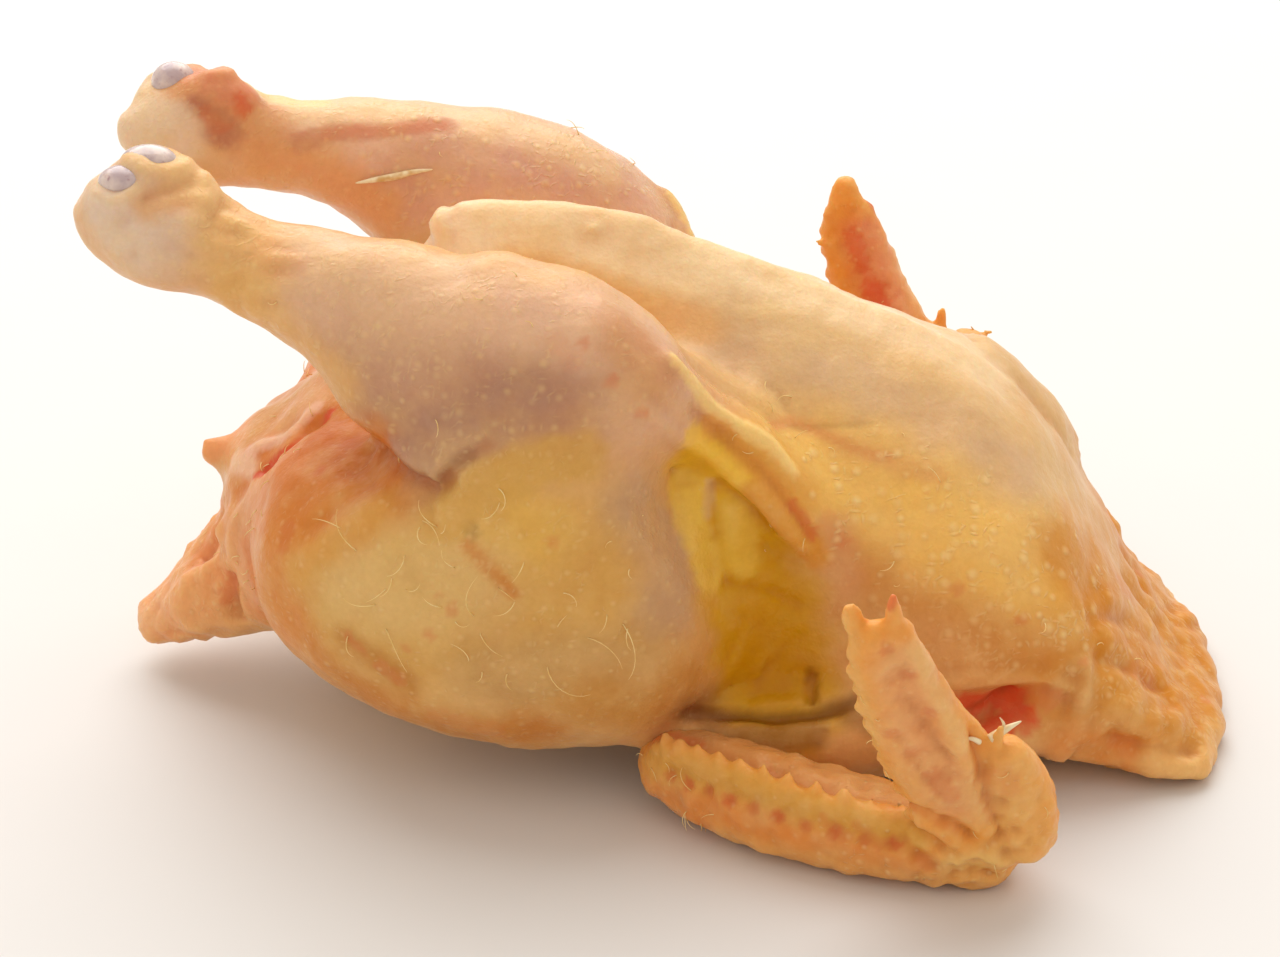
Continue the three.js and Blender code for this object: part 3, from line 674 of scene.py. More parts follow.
# The skin's colours: how strongly each is laid on, and the width in mm and path of its patch.
BODY_TINTS = [
    # muscle shows pink through the thin bare skin of the breast, and the keel carries a painted highlight
    ("#e7c088", 1.0, 24, [*BREAST, (97, -24, 68)]),
    ("#dcb690", 0.7, 9, [(15, -20, 105), (44, -22, 95), (70, -26, 85), (90, -28, 73)]),
    # painted highlight: the top of the keel and its tip are laid on paler, where the light falls
    ("#fbdcae", 0.9, 9, [(-50, -2, 117), (-29, -4, 126), (0, -6, 119), (38, -2, 109), (63, -2, 99),
        (84, -2, 87)]),
    ("#fbdeb8", 0.9, 12, [(-50, -2, 112), (-44, -4, 122)]),
    ("#f0b26c", 0.6, 5, [(-30, -14, 118), (-8, -18, 113), (16, -19, 106)]),
    # yellow fat under the skin of the flank, where the feathers stood in rows
    ("#f7c66a", 1.0, 16, [(40, -44, 80), (51, -42, 77), (75, -46, 66), (96, -46, 54), (117, -40, 36)]),
    ("#e2a062", 0.45, 2.4, [*FLANK_LINE, (63, -37, 79), (72, -38, 77)]),
    ("#d8964c", 0.9, 10, [(50, -53, 56), (65, -56, 46), (87, -57, 40), (105, -55, 31)]),
    ("#dba066", 0.5, 6, [(46, -50, 58), (48, -51, 48)]),
    ("#e2b074", 0.6, 8, [(58, -56, 44), (76, -58, 38)]),
    # neck
    ("#da9644", 0.9, 9, [(104, -36, 56), (108, -26, 58)]),
    ("#d98a1c", 1.0, 26, [(118, -34, 34), (132, -30, 14), (134, 0, 16)]),
    ("#e58a3c", 0.7, 7, [(106, -55, 14), (118, -52, 10)]),
    ("#f4bc72", 0.8, 5, [(126, -50, 8), (137, -48, 5), (143, -34, 6)]),
    # the fold from the knee
    ("#e8a848", 0.8, 7, [(14, -54, 104), (21, -51, 96), (30, -49, 86), (38, -50, 78)]),
    ("#e2a470", 0.7, 6, [(47, -51, 66), (49, -52, 56)]),
    # thigh
    ("#deaa5a", 1.0, 26, [(-62, -66, 60), (-40, -72, 60), (-16, -74, 62), (-4, -72, 62)]),
    ("#ecbc5c", 0.7, 9, [(-34, -72, 84), (-20, -74, 80)]),
    ("#e9c684", 0.6, 14, [(-62, -66, 62), (-50, -72, 62), (-38, -74, 66)]),
    ("#c27c2a", 0.6, 4, [(-64, -68, 46), (-57, -71, 41), (-51, -72, 36)], LEFT_ONLY),
    ("#c8a07c", 0.8, 9, [(4, -67, 82), (9, -64, 70), (9, -69, 58)]),
    ("#cba068", 0.6, 10, [(-30, -75, 42), (-10, -74, 46), (2, -73, 42)]),
    ("#cc7c28", 0.8, 8, [(-80, -60, 40), (-66, -68, 26), (-44, -74, 18), (-20, -76, 18)]),
    ("#cc8a34", 0.7, 9, [(-6, -76, 34), (6, -70, 32), (12, -66, 34)]),
    # drumstick
    ("#e6b996", 1.0, 20, [(-84, -36, 124), *DRUMSTICK_SIDE, (2, -54, 108)]),
    ("#e9c09a", 0.8, 9, [(-78, -40, 134), (-60, -47, 133), (-40, -52, 130)]),
    ("#b8866c", 0.85, 13, [(-58, -60, 98), (-46, -66, 94), (-36, -67, 102), (-18, -68, 108)]),
    ("#c89478", 0.5, 8, [(-66, -50, 110), (-40, -62, 112), (-22, -66, 112)]),
    ("#ecc0a2", 0.8, 8, [(-26, -58, 124), (-12, -60, 122)]),
    ("#d2915f", 0.7, 8, [(0, -58, 120), (6, -60, 112)]),
    ("#eeba78", 0.9, 10, [(-98, -34, 134), (-86, -38, 126)]),
    ("#e8b060", 0.7, 8, [(-92, -42, 120), (-80, -46, 112), (-68, -54, 104)]),
    ("#ecd2bc", 1.0, 13, [(-124, -36, 136), (-114, -40, 138)]),
    ("#e8b27c", 0.7, 5, [(-131, -32, 138), (-124, -40, 128)]),
    ("#e2a468", 0.7, 4, [(-110, -40, 143), (-103, -38, 145)], LEFT_ONLY),
    ("#f0c48c", 0.9, 6, [(-103, -31, 147), (-97, -32, 144)]),
    # a scratch on the left thigh
    ("#d0761c", 0.75, 1.9, [(-35, -75, 75), (-31, -76, 71), (-25, -77, 64)], LEFT_ONLY),
    # the right leg's inner side is paler and pinker
    ("#eec0a2", 1.0, 18, [(-85, -26, 134), (-60, -26, 130), (-36, -30, 126), (-12, -34, 118)], RIGHT_ONLY),
    ("#dba48c", 0.85, 9, [(-60, -22, 120), (-50, -27, 127), (-36, -29, 125), (-22, -34, 122),
        (-6, -40, 114)], RIGHT_ONLY),
    ("#f2cda0", 0.8, 7, [(-90, -30, 140), (-62, -36, 138), (-37, -40, 134), (-12, -41, 123)], RIGHT_ONLY),
    ("#eaa060", 0.7, 6, [(-94, -22, 130), (-80, -21, 126), (-66, -22, 116)], RIGHT_ONLY),
    ("#eecfa6", 0.9, 9, [(-128, -24, 138), (-120, -20, 136), (-114, -18, 134)], RIGHT_ONLY),
    ("#dd9468", 0.75, 9, [(-110, -26, 148), (-101, -22, 143), (-96, -24, 138)], RIGHT_ONLY),
    # vent and tail
    ("#e08c3c", 1.0, 13, [(-60, -56, 84), (-70, -54, 76), (-80, -50, 60), (-82, -52, 46)]),
    ("#dd823c", 1.0, 20, [(-76, -30, 74), (-84, -26, 60), (-88, -28, 44)]),
    ("#e3a850", 0.6, 4, [(-56, -63, 79), (-62, -65, 74), (-70, -65, 68), (-77, -62, 60)]),
    ("#cc6c18", 0.9, 8, [(-57, -57, 90), (-64, -44, 84), (-70, -34, 80), (-72, -24, 80)], LEFT_ONLY),
    ("#eaab7a", 0.9, 6, [(-86, -8, 76), (-76, -8, 84)]),
    ("#e7a474", 0.9, 4, [(-91, -24, 66), (-94, -24, 59), (-98, -23, 51), (-97, -26, 42), (-93, -30, 36)]),
    ("#f8ccaa", 0.9, 3, [(-98, -10, 62), (-94, -17, 64)]),
    ("#f4a870", 0.9, 4, [(-100, 3, 66), (-108, 3, 64)]),
    ("#f0a468", 1.0, 18, TAIL_END),
    ("#f6bc8c", 0.6, 5, [(-122, -8, 20), (-128, -4, 14)]),
]

# Tints with an edge: the fat that shows behind the thigh, the lines where two forms meet, painted light.
BODY_EDGED = [
    ("#e9b723", 0.95, 9, [(18, -52, 86), (22, -51, 76), (26, -51, 68)]),
    ("#dba606", 0.95, 15, [(28, -51, 60), (32, -52, 46), (34, -53, 34), (36, -56, 26)]),
    ("#d19702", 0.85, 10, [(33, -51, 54), (34, -52, 44), (36, -53, 32)]),
    ("#f2ca54", 0.8, 5, [(14, -54, 80), (16, -55, 70), (20, -57, 60)]),
    ("#eec64e", 0.8, 4.5, [(25, -51, 72), (27, -51, 60)]),
    ("#e6c084", 0.7, 1.4, [(19, -50, 80), (19, -52, 73)]),
    ("#fccb48", 0.75, 3.2, [(15, -54, 94), (20, -52, 88), (25, -53, 83)]),
    ("#e29a2c", 0.8, 3.4, [(29, -53, 79), (36, -52, 71), (44, -50, 61)]),
    # painted light on the knee fold: a highlight along its ridge, painted shade in the groove below
    ("#ffdb8b", 0.8, 2.6, [(11, -55, 113), *KNEE_RIDGE, (38, -48, 84)]),
    ("#e79d44", 0.7, 2.2, [(19, -53, 96), (26, -51, 88), (33, -50, 80), (37, -51, 75)]),
    ("#dfb070", 0.5, 4, [(103, -55, 30), (109, -52, 35), (107, -55, 27)]),
    ("#9a7434", 0.6, 1.8, [(-35, -74, 80), (-34, -74, 78)], LEFT_ONLY),
    ("#8f5018", 0.75, 4, [(20, -66, 20), (32, -65, 20), (44, -64, 21)]),
    # the drumstick's dusky skin ends where it meets the thigh's yellow skin
    ("#b98b74", 0.8, 7, [(-49, -63, 92), (-41, -67, 98), (-33, -68, 104), (-22, -68, 109)]),
    ("#deac58", 0.9, 6, [(-41, -71, 80), (-35, -71, 86), (-27, -72, 91), (-18, -71, 95), (-9, -70, 96)]),
    # the vent's lip and the right hock, bruised where it was cut
    ("#f3c0a4", 0.9, 2.2, VENT_LIP, LEFT_ONLY),
    ("#e08a6a", 0.8, 6, [(-111, -32, 148), (-103, -24, 149), (-99, -23, 146)], RIGHT_ONLY),
    ("#b8705c", 0.75, 4.5, [(-109, -19, 142), (-104, -19, 139), (-102, -20, 137)], RIGHT_ONLY),
    ("#f6d99a", 0.8, 4, [(-97, -31, 146), (-90, -34, 143), (-82, -35, 141)], RIGHT_ONLY),
    ("#f0d3b4", 0.9, 7, [(-129, -22, 138), (-121, -20, 139), (-114, -19, 137)], RIGHT_ONLY),
    ("#cf8468", 0.7, 2.6, [(-85, -23, 133), (-76, -25, 135), (-66, -27, 135), (-49, -33, 135)], RIGHT_ONLY),
]

# Small spots of blood under the left side's skin.
SPOTS = [(-39, -76, 59), (-16, -76, 77), (-44, -73, 52), (77, -53, 55), (50, -49, 65), (108, -52, 36),
         (92, -53, 47), (-9, -64, 121), (-3, -66, 113), (4, -66, 105), (126, 11, 26), (140, -25, 11)]

# Blood under the skin or on cut flesh: how strongly it shows, the width in mm and path of its patch.
BODY_BLOOD = [
    (1.0, 5, [(78, -56, 25), (84, -54, 26), (90, -54, 27)]),
    (0.5, 4, [(95, -55, 28), (99, -56, 28)]),
    (1.0, 5.0, [(86, -58, 20), (93, -55, 23)]),
    (0.7, 1.7, [(38, -51, 75), (43, -51, 67)]),
    (0.25, 3, [(46, -49, 70), (52, -49, 64)]),
    (0.36, 1.5, [*FLANK_LINE, (60, -36, 80)]),
    (0.4, 1.2, [(-42, -74, 62)], LEFT_ONLY),
    (0.5, 1.6, [(-64, -69, 47), (-61, -70, 44)], LEFT_ONLY),
    (0.5, 2.2, [(-57, -71, 40), (-53, -71, 37)], LEFT_ONLY),
    (0.4, 1.4, [(-50, -73, 47)], LEFT_ONLY),
    (0.28, 4, [(-44, -73, 26), (-32, -75, 22)]),
    (0.55, 1.8, [(-73, -45, 78)], LEFT_ONLY),
    (0.45, 2.4, [(-79, -55, 68), (-80, -57, 64)], LEFT_ONLY),
    (1.0, 1.8, VENT_CUT, LEFT_ONLY),
    (0.45, 5, [(-108, -6, 46), (-112, -8, 36)]),
    (0.6, 2.5, [(-101, -20, 29), (-99, -21, 36)]),
    (0.75, 2.2, [(-98, -21, 145), (-97, -21, 142)], RIGHT_ONLY),
    (0.45, 2.6, [(-106, -19, 141), (-103, -20, 138)], RIGHT_ONLY),
    (0.42, 1.9, [(-78, -25, 135), (-72, -26, 135), (-62, -28, 135), (-51, -32, 135)], RIGHT_ONLY),
    (0.7, 1.6, [(-118, -27, 146)], RIGHT_ONLY),
    (0.35, 3.5, [(120, -40, 26), (124, -36, 22)]),
    (0.35, 4, [(118, -18, 38), (122, -12, 34)]),
    (0.35, 3.0, [(117, -50, 14), (120, -51, 12)]),
    (0.25, 3, [(50, -49, 64)]),
    *[(0.5, 1.8, [spot], LEFT_ONLY) for spot in SPOTS],
    (0.25, 3, [(-16, -62, 120), (-12, -62, 116)], LEFT_ONLY),
    (0.25, 5, [(-84, -41, 133), (-78, -44, 130)]),
]

# Painted shade: dark brown laid into deep creases where shadow falls, and faintly along the breast's veins.
BODY_SHADE = [
    (0.75, 2.6, [(13, -62, 25), *UNDER_FAT]),
    (0.4, 5.0, [(13, -62, 28), (19, -59, 26)]),
    (0.4, 1.2, FAT_NICK),
    (0.3, 2.0, [(-55, -58, 88), (-49, -64, 87), (-42, -69, 87), (-39, -68, 92), (-35, -68, 95)]),
    (0.35, 1.0, [(81, -55, 24), (86, -54, 27), (91, -54, 30)]),
    (0.5, 3.0, [(52, -62, 26), (60, -62, 22), (64, -62, 18)]),
    *[(0.15, 0.8, vein, LEFT_ONLY) for vein in BREAST_VEINS],
]

# Where the skin is wetter and smoother.
WET = [
    (0.8, 15, FAT),
    (1.0, 8, [(74, -59, 26), (84, -58, 28), (96, -57, 29)]),
    (0.7, 6, [(12, -53, 110), (33, -44, 89), (44, -50, 68)]),
    (0.5, 14, DRUMSTICK_SIDE),
]

# Where follicles show as pale dots: how strongly, their radius in mm, the width and path of the patch.
BODY_DOTS = [
    (0.32, 0.70, 400, [(0, -40, 60)]),
    (0.05, 0.60, 24, [*BREAST, (93, -24, 70)]),
    (0.95, 1.20, 15, [(36, -47, 76), (54, -44, 72), (75, -46, 66), (96, -44, 54), (117, -38, 36)]),
    (0.55, 1.05, 8, [(60, -55, 50), (87, -57, 40)]),
    (0.45, 1.05, 22, [(124, -36, 26), (134, -20, 14)]),
    (0.45, 0.95, 20, [(-70, -42, 118), (-46, -56, 110), (-20, -58, 116)]),
    (0.35, 0.90, 14, [(-100, -34, 134), (-88, -38, 126)]),
    (0.05, 0.70, 14, [(-120, -34, 140)]),
    (0.45, 0.80, 28, [(-50, -70, 60), (-16, -74, 62)]),
    (0.00, 0.60, 15, FAT),
    (0.00, 0.60, 8, [(78, -56, 25), (88, -54, 25), (97, -56, 26)]),
    (0.45, 0.90, 16, TAIL_END),
    (0.10, 0.60, 14, [(-76, -30, 74), (-88, -28, 50)]),
    (0.60, 0.95, 15, [(-54, -26, 126), (-36, -28, 124), (-22, -34, 121), (-6, -38, 114)], RIGHT_ONLY),
]

WING_SKIN = "#f0a248"
WING_TINTS = [
    ("#e68a40", 0.8, 9, [(14, -76, 10), (40, -92, 10), (64, -100, 10)]),
    ("#e8a85c", 0.8, 5, [(24, -84, 3), (44, -94, 3), (64, -99, 2), (84, -98, 3)]),
    ("#d99b60", 0.8, 5, [(14, -68, 22), (32, -78, 22), (56, -88, 20)]),
    ("#e0a648", 0.9, 4.5, [(8, -70, 17), (22, -81, 20), (40, -91, 19), (56, -96, 18), (68, -99, 16)]),
    ("#d3995e", 0.8, 3.5, [(18, -66, 21), (32, -68, 21), (46, -76, 21), (57, -81, 20), (65, -91, 20)]),
    ("#eda86c", 1.0, 7, [(63, -113, 68), (66, -112, 56), (71, -110, 42), (78, -108, 30)]),
    ("#f0b766", 0.9, 3, [(50, -112, 78), (53, -110, 62), (58, -106, 48), (64, -102, 36)]),
    ("#f3c07c", 0.8, 2.5, [(66, -113, 73), (71, -111, 60), (77, -109, 47)]),
    ("#ee9a80", 0.7, 6, [(56, -104, 76), (62, -102, 58), (72, -100, 40)], RIGHT_ONLY),
    ("#eeb264", 0.8, 8, [(86, -104, 38), (92, -103, 20), (90, -100, 10)]),
    ("#f0c070", 0.8, 4, [(77, -101, 12), (84, -102, 13)]),
]
WING_BLOOD = [
    *[(0.75, 2.0, [spot]) for spot in PIT_SPOTS[1::2]],
    *[(0.60, 1.8, [spot]) for spot in PIT_SPOTS[::2]],
    (0.6, 3, [(8, -66, 20), (16, -70, 21)]),
    (0.4, 2, [(34, -81, 22)]),
    *[(0.5, 2.0, [spot]) for spot in ((64, -112, 66), (69, -111, 55), (59, -112, 74))],
    (0.45, 2.2, [(61, -110, 50)]),
    (0.4, 2.0, [(66, -109, 44)]),
    (0.5, 2.6, [(71, -107, 38), (75, -107, 32)]),
    (0.35, 3.0, [(86, -106, 38), (88, -105, 34)]),
    (0.8, 1.8, [(60, -113, 84), (60, -113, 88)]),
    (0.35, 1.6, [(79, -106, 48), (82, -106, 36), (85, -104, 24)]),
    (0.35, 1.6, [(60, -94, 24), (68, -104, 26), (77, -104, 21)]),
    (0.4, 1.8, [(47, -94, 17), (52, -96, 14)]),
    (0.4, 1.8, [(55, -96, 17), (60, -98, 13)]),
    (0.4, 1.8, [(66, -99, 14), (71, -100, 9)]),
    (0.8, 3, [(52, -107, 76), (55, -104, 68)], RIGHT_ONLY),
    (0.9, 4, [(58, -103, 62), (62, -101, 54)], RIGHT_ONLY),
    (0.35, 6, [(51, -107, 78), (56, -104, 64)], RIGHT_ONLY),
]
WING_DOTS = [
    (0.35, 0.60, 400, [(60, -95, 30)]),
    (0.70, 0.75, 8, [(60, -98, 8), (84, -100, 8)]),
]


SOFT, EDGED = (0.35, 1.6), (0.6, 1.35)    # where a tint is full and where it is gone, in widths


def painted(skin, base, tints, edged):
    """The skin's colour in linear light: the base with each tint's patch laid over it in turn, those
    that melt away first and those with an edge after them."""
    colour = np.tile(linear(base), (len(skin[0]), 1))
    rows = [(SOFT, *row) for row in with_sides(tints)] + [(EDGED, *row) for row in with_sides(edged)]
    for number, (ends, code, strength, width, path, sides) in enumerate(rows):
        share = (strength * patch(skin, path, width, sides, 0.08, number, *ends))[:, None]
        colour = colour + share * (linear(code) - colour)
    return colour


def marked(skin, marks, raggedness, full=0.5, gone=1.45):
    """How strongly the strongest of some marks shows at each point."""
    total = np.zeros(len(skin[0]))
    for number, (strength, width, path, sides) in enumerate(with_sides(marks)):
        share = patch(skin, path, width, sides, raggedness, MARK_SEED + number, full, gone)
        total = np.maximum(total, strength * share)
    return total


LATTICE_SLACK = 0.26    # how far a follicle may stand off its lattice place, in rows or columns


def follicle_rows(surface, rows, columns, seed):
    """Places of follicles on a surface: rows across its spine, every other row half a step along,
    each place a little off the row."""
    draw = np.random.default_rng(seed)
    row, column = np.meshgrid(np.arange(rows), np.arange(columns), indexing="ij")
    share = (row + 0.5 + draw.uniform(-LATTICE_SLACK, LATTICE_SLACK, row.shape)) / rows
    turn = (column + 0.5 * (row % 2) + draw.uniform(-LATTICE_SLACK, LATTICE_SLACK, row.shape)) / columns
    return surface(share, 2 * np.pi * turn).reshape(-1, 3)


HIDDEN = 3.0            # a follicle's lattice place further than this from the skin is inside a form
FOLLICLE_GAP = 3.3      # least distance between two follicles
BARE_FOLLICLES = 0.06   # share of the follicles that don't show


def follicles_on(skin, lattices, zones, seed):
    """The follicles of a skin: their places, how strongly each shows and its radius. Lattice places
    that are hidden or too near to another are dropped."""
    points, normals = skin
    lattice = np.vstack(lattices)
    near, distance = nearest_of(lattice, points)
    gap = ((lattice - points[near]) * normals[near]).sum(1, keepdims=True)
    place = (lattice - gap * normals[near])[distance < HIDDEN]
    kept = np.ones(len(place), bool)
    for number in range(1, len(place)):
        before = place[:number][kept[:number]]
        kept[number] = ((before - place[number]) ** 2).sum(1).min() > FOLLICLE_GAP**2
    place = place[kept]
    near, _ = nearest_of(place, points)
    strength, radius = np.zeros(len(points)), np.zeros(len(points))
    for number, (shows, size, width, path, sides) in enumerate(with_sides(zones)):
        share = patch(skin, path, width, sides, 0.3, DOT_SEED + number)
        strength += share * (shows - strength)
        radius += share * (size - radius)
    draw = np.random.default_rng(seed)
    shown = strength[near] * draw.uniform(0.5, 1.1, len(near))
    shown = shown * (draw.uniform(size=len(near)) > BARE_FOLLICLES)
    return place, shown, radius[near] * draw.uniform(0.75, 1.25, len(near))


def relief_of(points, quads, normals, rounds, full):
    """How far each point stands over a smoothed copy of its skin, from -1 in a furrow to 1 on a crest,
    where full is the height in mm that counts as 1."""
    level = relaxed(points, quads, np.ones(len(points)), rounds)
    return np.clip(((points - level) * normals).sum(1) / full, -1, 1)


def put_values(piece, name, *columns):
    """Stores up to three values for each point of a piece, as a colour that its material can read."""
    values = np.zeros((len(columns[0]), 4))
    values[:, 3] = 1
    values[:, :len(columns)] = np.stack(columns, 1)
    layer = piece.data.attributes.new(name, "FLOAT_COLOR", "POINT")
    layer.data.foreach_set("color", values.astype(np.float32).ravel())


def skin_piece(name, mesh, base, tints, edged, blood, shade, lattices, zones, relief):
    """A piece of skin with its colours, marks and follicles; it gives back its points and normals."""
    points, quads = mesh
    piece = mesh_object(name, points, quads)
    skin = points, normals_of(points, quads)
    follicles, shown, radius = follicles_on(skin, lattices, zones, seed=len(points))
    number, distance = nearest_of(points, follicles)
    height = relief_of(points, quads, skin[1], *relief)
    put_values(piece, "tint", *painted(skin, base, tints, edged).T)
    # marks: blood, the painted shade of the creases, and where the skin is wet
    put_values(piece, "marks", marked(skin, blood, 0.2), marked(skin, shade, 0.05, 0.25, 1.6),
               marked(skin, WET, 0.3))
    put_values(piece, "dots", shown[number], radius[number] / 2, 1 - smoothstep(1.9, 2.5, distance))
    # relief: crests and furrows, which the material paints lighter and darker as painted light
    put_values(piece, "relief", np.maximum(height, 0), np.maximum(-height, 0))
    roots = piece.data.attributes.new("follicle", "FLOAT_VECTOR", "POINT")
    roots.data.foreach_set("vector", (follicles[number] * MM).astype(np.float32).ravel())
    dress(piece, raw_skin)
    return skin


def dress(piece, material):
    """Puts a piece on the bird: hangs it from the root body, hides the chicken solid, adds its material."""
    piece.data.materials.append(material)
    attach(piece, "root")
    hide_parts("chicken")


# ---- Materials -----------------------------------------------------------------------------------


def new_material(name):
    """A new material's node tree and shader, after the material itself."""
    material = bpy.data.materials.new(name)
    material.use_nodes = True
    return material, material.node_tree, material.node_tree.nodes["Principled BSDF"]


def feed(tree, node, inputs):
    """Gives a node its inputs, by socket or in the sockets' order: each is a value, the hex code of a
    colour or the output that feeds it."""
    for socket, value in inputs.items() if isinstance(inputs, dict) else enumerate(inputs):
        if isinstance(value, bpy.types.NodeSocket):
            tree.links.new(value, node.inputs[socket])
        else:
            node.inputs[socket].default_value = (*linear(value), 1) if isinstance(value, str) else value


def add_node(tree, kind, inputs=(), output=0, **settings):
    """Adds a node with its settings and inputs and gives one of its outputs."""
    made = tree.nodes.new("ShaderNode" + kind)
    for name, value in settings.items():
        setattr(made, name, value)
    feed(tree, made, inputs)
    return made.outputs[output]


def per_metre(size_mm):
    """The scale of a texture whose features are to be a size in millimetres."""
    return 1 / (size_mm * MM)


def raw_poultry_skin():
    """Raw poultry skin: a thin moist translucent sheet over yellow fat and pink muscle, so light goes
    a few millimetres into it and comes out redder; its own texture is creases under a millimetre wide
    and a dome of pale gristle round each follicle."""
    material, tree, shader = new_material("raw poultry skin")
    add = partial(add_node, tree)
    place = add("TexCoord", output="Object")
    tint = add("Attribute", output="Color", attribute_name="tint")
    follicle = add("Attribute", output="Vector", attribute_name="follicle")
    (blood, shade, wet), (shown, radius, near), (crest, furrow, _) = (
        add("SeparateColor", [add("Attribute", output="Color", attribute_name=name)]).node.outputs
        for name in ("marks", "dots", "relief"))
    lobules, muscle, mottle, crease = (
        add("TexNoise", {"Vector": place, "Scale": per_metre(size), "Detail": detail, "Roughness": rough})
        for size, detail, rough in ((13, 3, 0.6), (26, 3, 0.55), (1.8, 4, 0.65), (4.5, 3, 0.6)))
    grain = add("TexVoronoi", {"Vector": place, "Scale": per_metre(0.9)})

    # each follicle: how far a point is from its middle, in radii, and from that its dome and its rim
    away = add("VectorMath", [place, follicle], "Value", operation="DISTANCE")
    size = add("Math", [radius, 2 * MM], operation="MULTIPLY")
    ratio = add("Math", [away, size], operation="DIVIDE")
    seen = add("Math", [near, shown], operation="MULTIPLY")
    dome = add("MapRange", [ratio, 0.1, 1.4, seen, 0], interpolation_type="SMOOTHSTEP")
    rim = add("MapRange", [ratio, 1.0, 2.4, seen, 0])

    # colour: the tint, then layers over it, each with its share, its colour and how it is laid on
    dry = add("Math", [1.0, wet], operation="SUBTRACT")
    fat_share = add("MapRange", [lobules, 0.42, 0.72, 0, 0.32])
    muscle_share = add("MapRange", [muscle, 0.45, 0.75, 0, 0.24])
    bleeding = add("Math", [mottle, 0.4, blood], operation="MULTIPLY_ADD")
    fresh = add("MapRange", [blood, 0.5, 1, 0, 1])
    layers = [
        (add("Math", [fat_share, dry], operation="MULTIPLY"), "#f8d48c", "MIX"),
        (add("Math", [muscle_share, dry], operation="MULTIPLY"), "#cc8658", "MIX"),
        # painted highlight on skin that stands proud, painted shade in its furrows
        (add("Math", [crest, 0.22], operation="MULTIPLY"), "#fddc9a", "MIX"),
        (add("Math", [furrow, 0.45], operation="MULTIPLY"), "#c0622c", "MIX"),
        (add("MapRange", [mottle, 0.3, 0.7, 0.25, 0]), "#e2d3c4", "MULTIPLY"),
        (add("MapRange", [bleeding, 0.3, 1.25, 0, 0.85]),
         add("Mix", {0: fresh, 6: "#d56a3e", 7: "#dc472a"}, 2, data_type="RGBA"), "MIX"),
        # painted shade: dark brown in the deep creases
        (add("Math", [shade, 0.88], operation="MULTIPLY"), "#6a3408", "MIX"),
        (add("Math", [rim, 0.07], operation="MULTIPLY"), "#c07a3e", "MIX"),
        (add("Math", [dome, 0.52], operation="MULTIPLY"), "#fbdc9c", "MIX"),
    ]
    colour = tint
    for share, over, blend in layers:
        colour = add("Mix", {0: share, 6: colour, 7: over}, 2, data_type="RGBA", blend_type=blend)

    # relief finer than the mesh, each with its height in mm
    normal = add("Bump", {"Height": crease, "Distance": 0.45 * MM})
    for height, depth in ((mottle, 0.08), (grain, 0.035), (dome, 0.32)):
        normal = add("Bump", {"Height": height, "Distance": depth * MM, "Normal": normal})

    # fat makes the skin glossier, and so does the wet
    satin = add("MapRange", [lobules, 0.3, 0.7, 0.40, 0.28])
    feed(tree, shader, {
        "Base Color": colour, "Normal": normal, "IOR": 1.4, "Specular Tint": "#ffe0b0",
        "Roughness": add("Math", [wet, -0.16, satin], operation="MULTIPLY_ADD"),
        "Subsurface Weight": 0.35, "Subsurface Radius": (1.0, 0.42, 0.18), "Subsurface Scale": 4 * MM})
    return material


def hyaline_cartilage():
    """Joint cartilage: smooth glassy blue-white tissue, wet, with pink where blood lies under it."""
    material, tree, shader = new_material("hyaline cartilage")
    add = partial(add_node, tree)
    place = add("TexCoord", output="Object")
    cloud, speck = (add("TexNoise", {"Vector": place, "Scale": per_metre(size), "Detail": 3})
                    for size in (5, 1.5))
    cloudy = add("MapRange", [cloud, 0.38, 0.62, 0, 1])
    bloody = add("MapRange", [speck, 0.6, 0.75, 0, 0.7])
    colour = add("Mix", {0: cloudy, 6: "#c0aaac", 7: "#e6d2c8"}, 2, data_type="RGBA")
    feed(tree, shader, {
        "Base Color": add("Mix", {0: bloody, 6: colour, 7: "#a5787c"}, 2, data_type="RGBA"),
        "Normal": add("Bump", {"Height": cloud, "Distance": 0.4 * MM}),
        "Roughness": 0.2, "Coat Weight": 0.5, "Coat Roughness": 0.08,
        "Subsurface Weight": 0.25, "Subsurface Radius": (1.0, 0.7, 0.5), "Subsurface Scale": 2 * MM})
    return material


def feather_horn(name, pale, deep):
    """Keratin of hair feathers and quills: dull pale horn, uneven along its length."""
    material, tree, shader = new_material(name)
    add = partial(add_node, tree)
    place = add("TexCoord", output="Object")
    cloud = add("TexNoise", {"Vector": place, "Scale": per_metre(3), "Detail": 2})
    share = add("MapRange", [cloud, 0.4, 0.65, 0, 1])
    feed(tree, shader, {
        "Base Color": add("Mix", {0: share, 6: pale, 7: deep}, 2, data_type="RGBA"),
        "Normal": add("Bump", {"Height": cloud, "Distance": 0.1 * MM}), "Roughness": 0.45})
    return material


def white_paper():
    """Seamless studio paper: matt and all but even."""
    material, tree, shader = new_material("white seamless paper")
    add = partial(add_node, tree)
    fibre = add("TexNoise", {"Vector": add("TexCoord", output="Object"), "Scale": per_metre(40)})
    feed(tree, shader, {
        "Base Color": add("Mix", {0: fibre, 6: "#e3e2e0", 7: "#e5e4e2"}, 2, data_type="RGBA"),
        "Roughness": 0.6})
    return material


# ---- Cartilage, quills and hairs -----------------------------------------------------------------

# Condyles of the cut hocks: sides, place on the left and radii.
CONDYLES = [
    (LEFT_ONLY, (-117, -35, 147), (6.0, 4.4, 3.6)), (LEFT_ONLY, (-111, -29, 151), (6.6, 4.8, 3.8)),
    (RIGHT_ONLY, (-117, -30, 147), (5.6, 5.0, 5.0)),
]

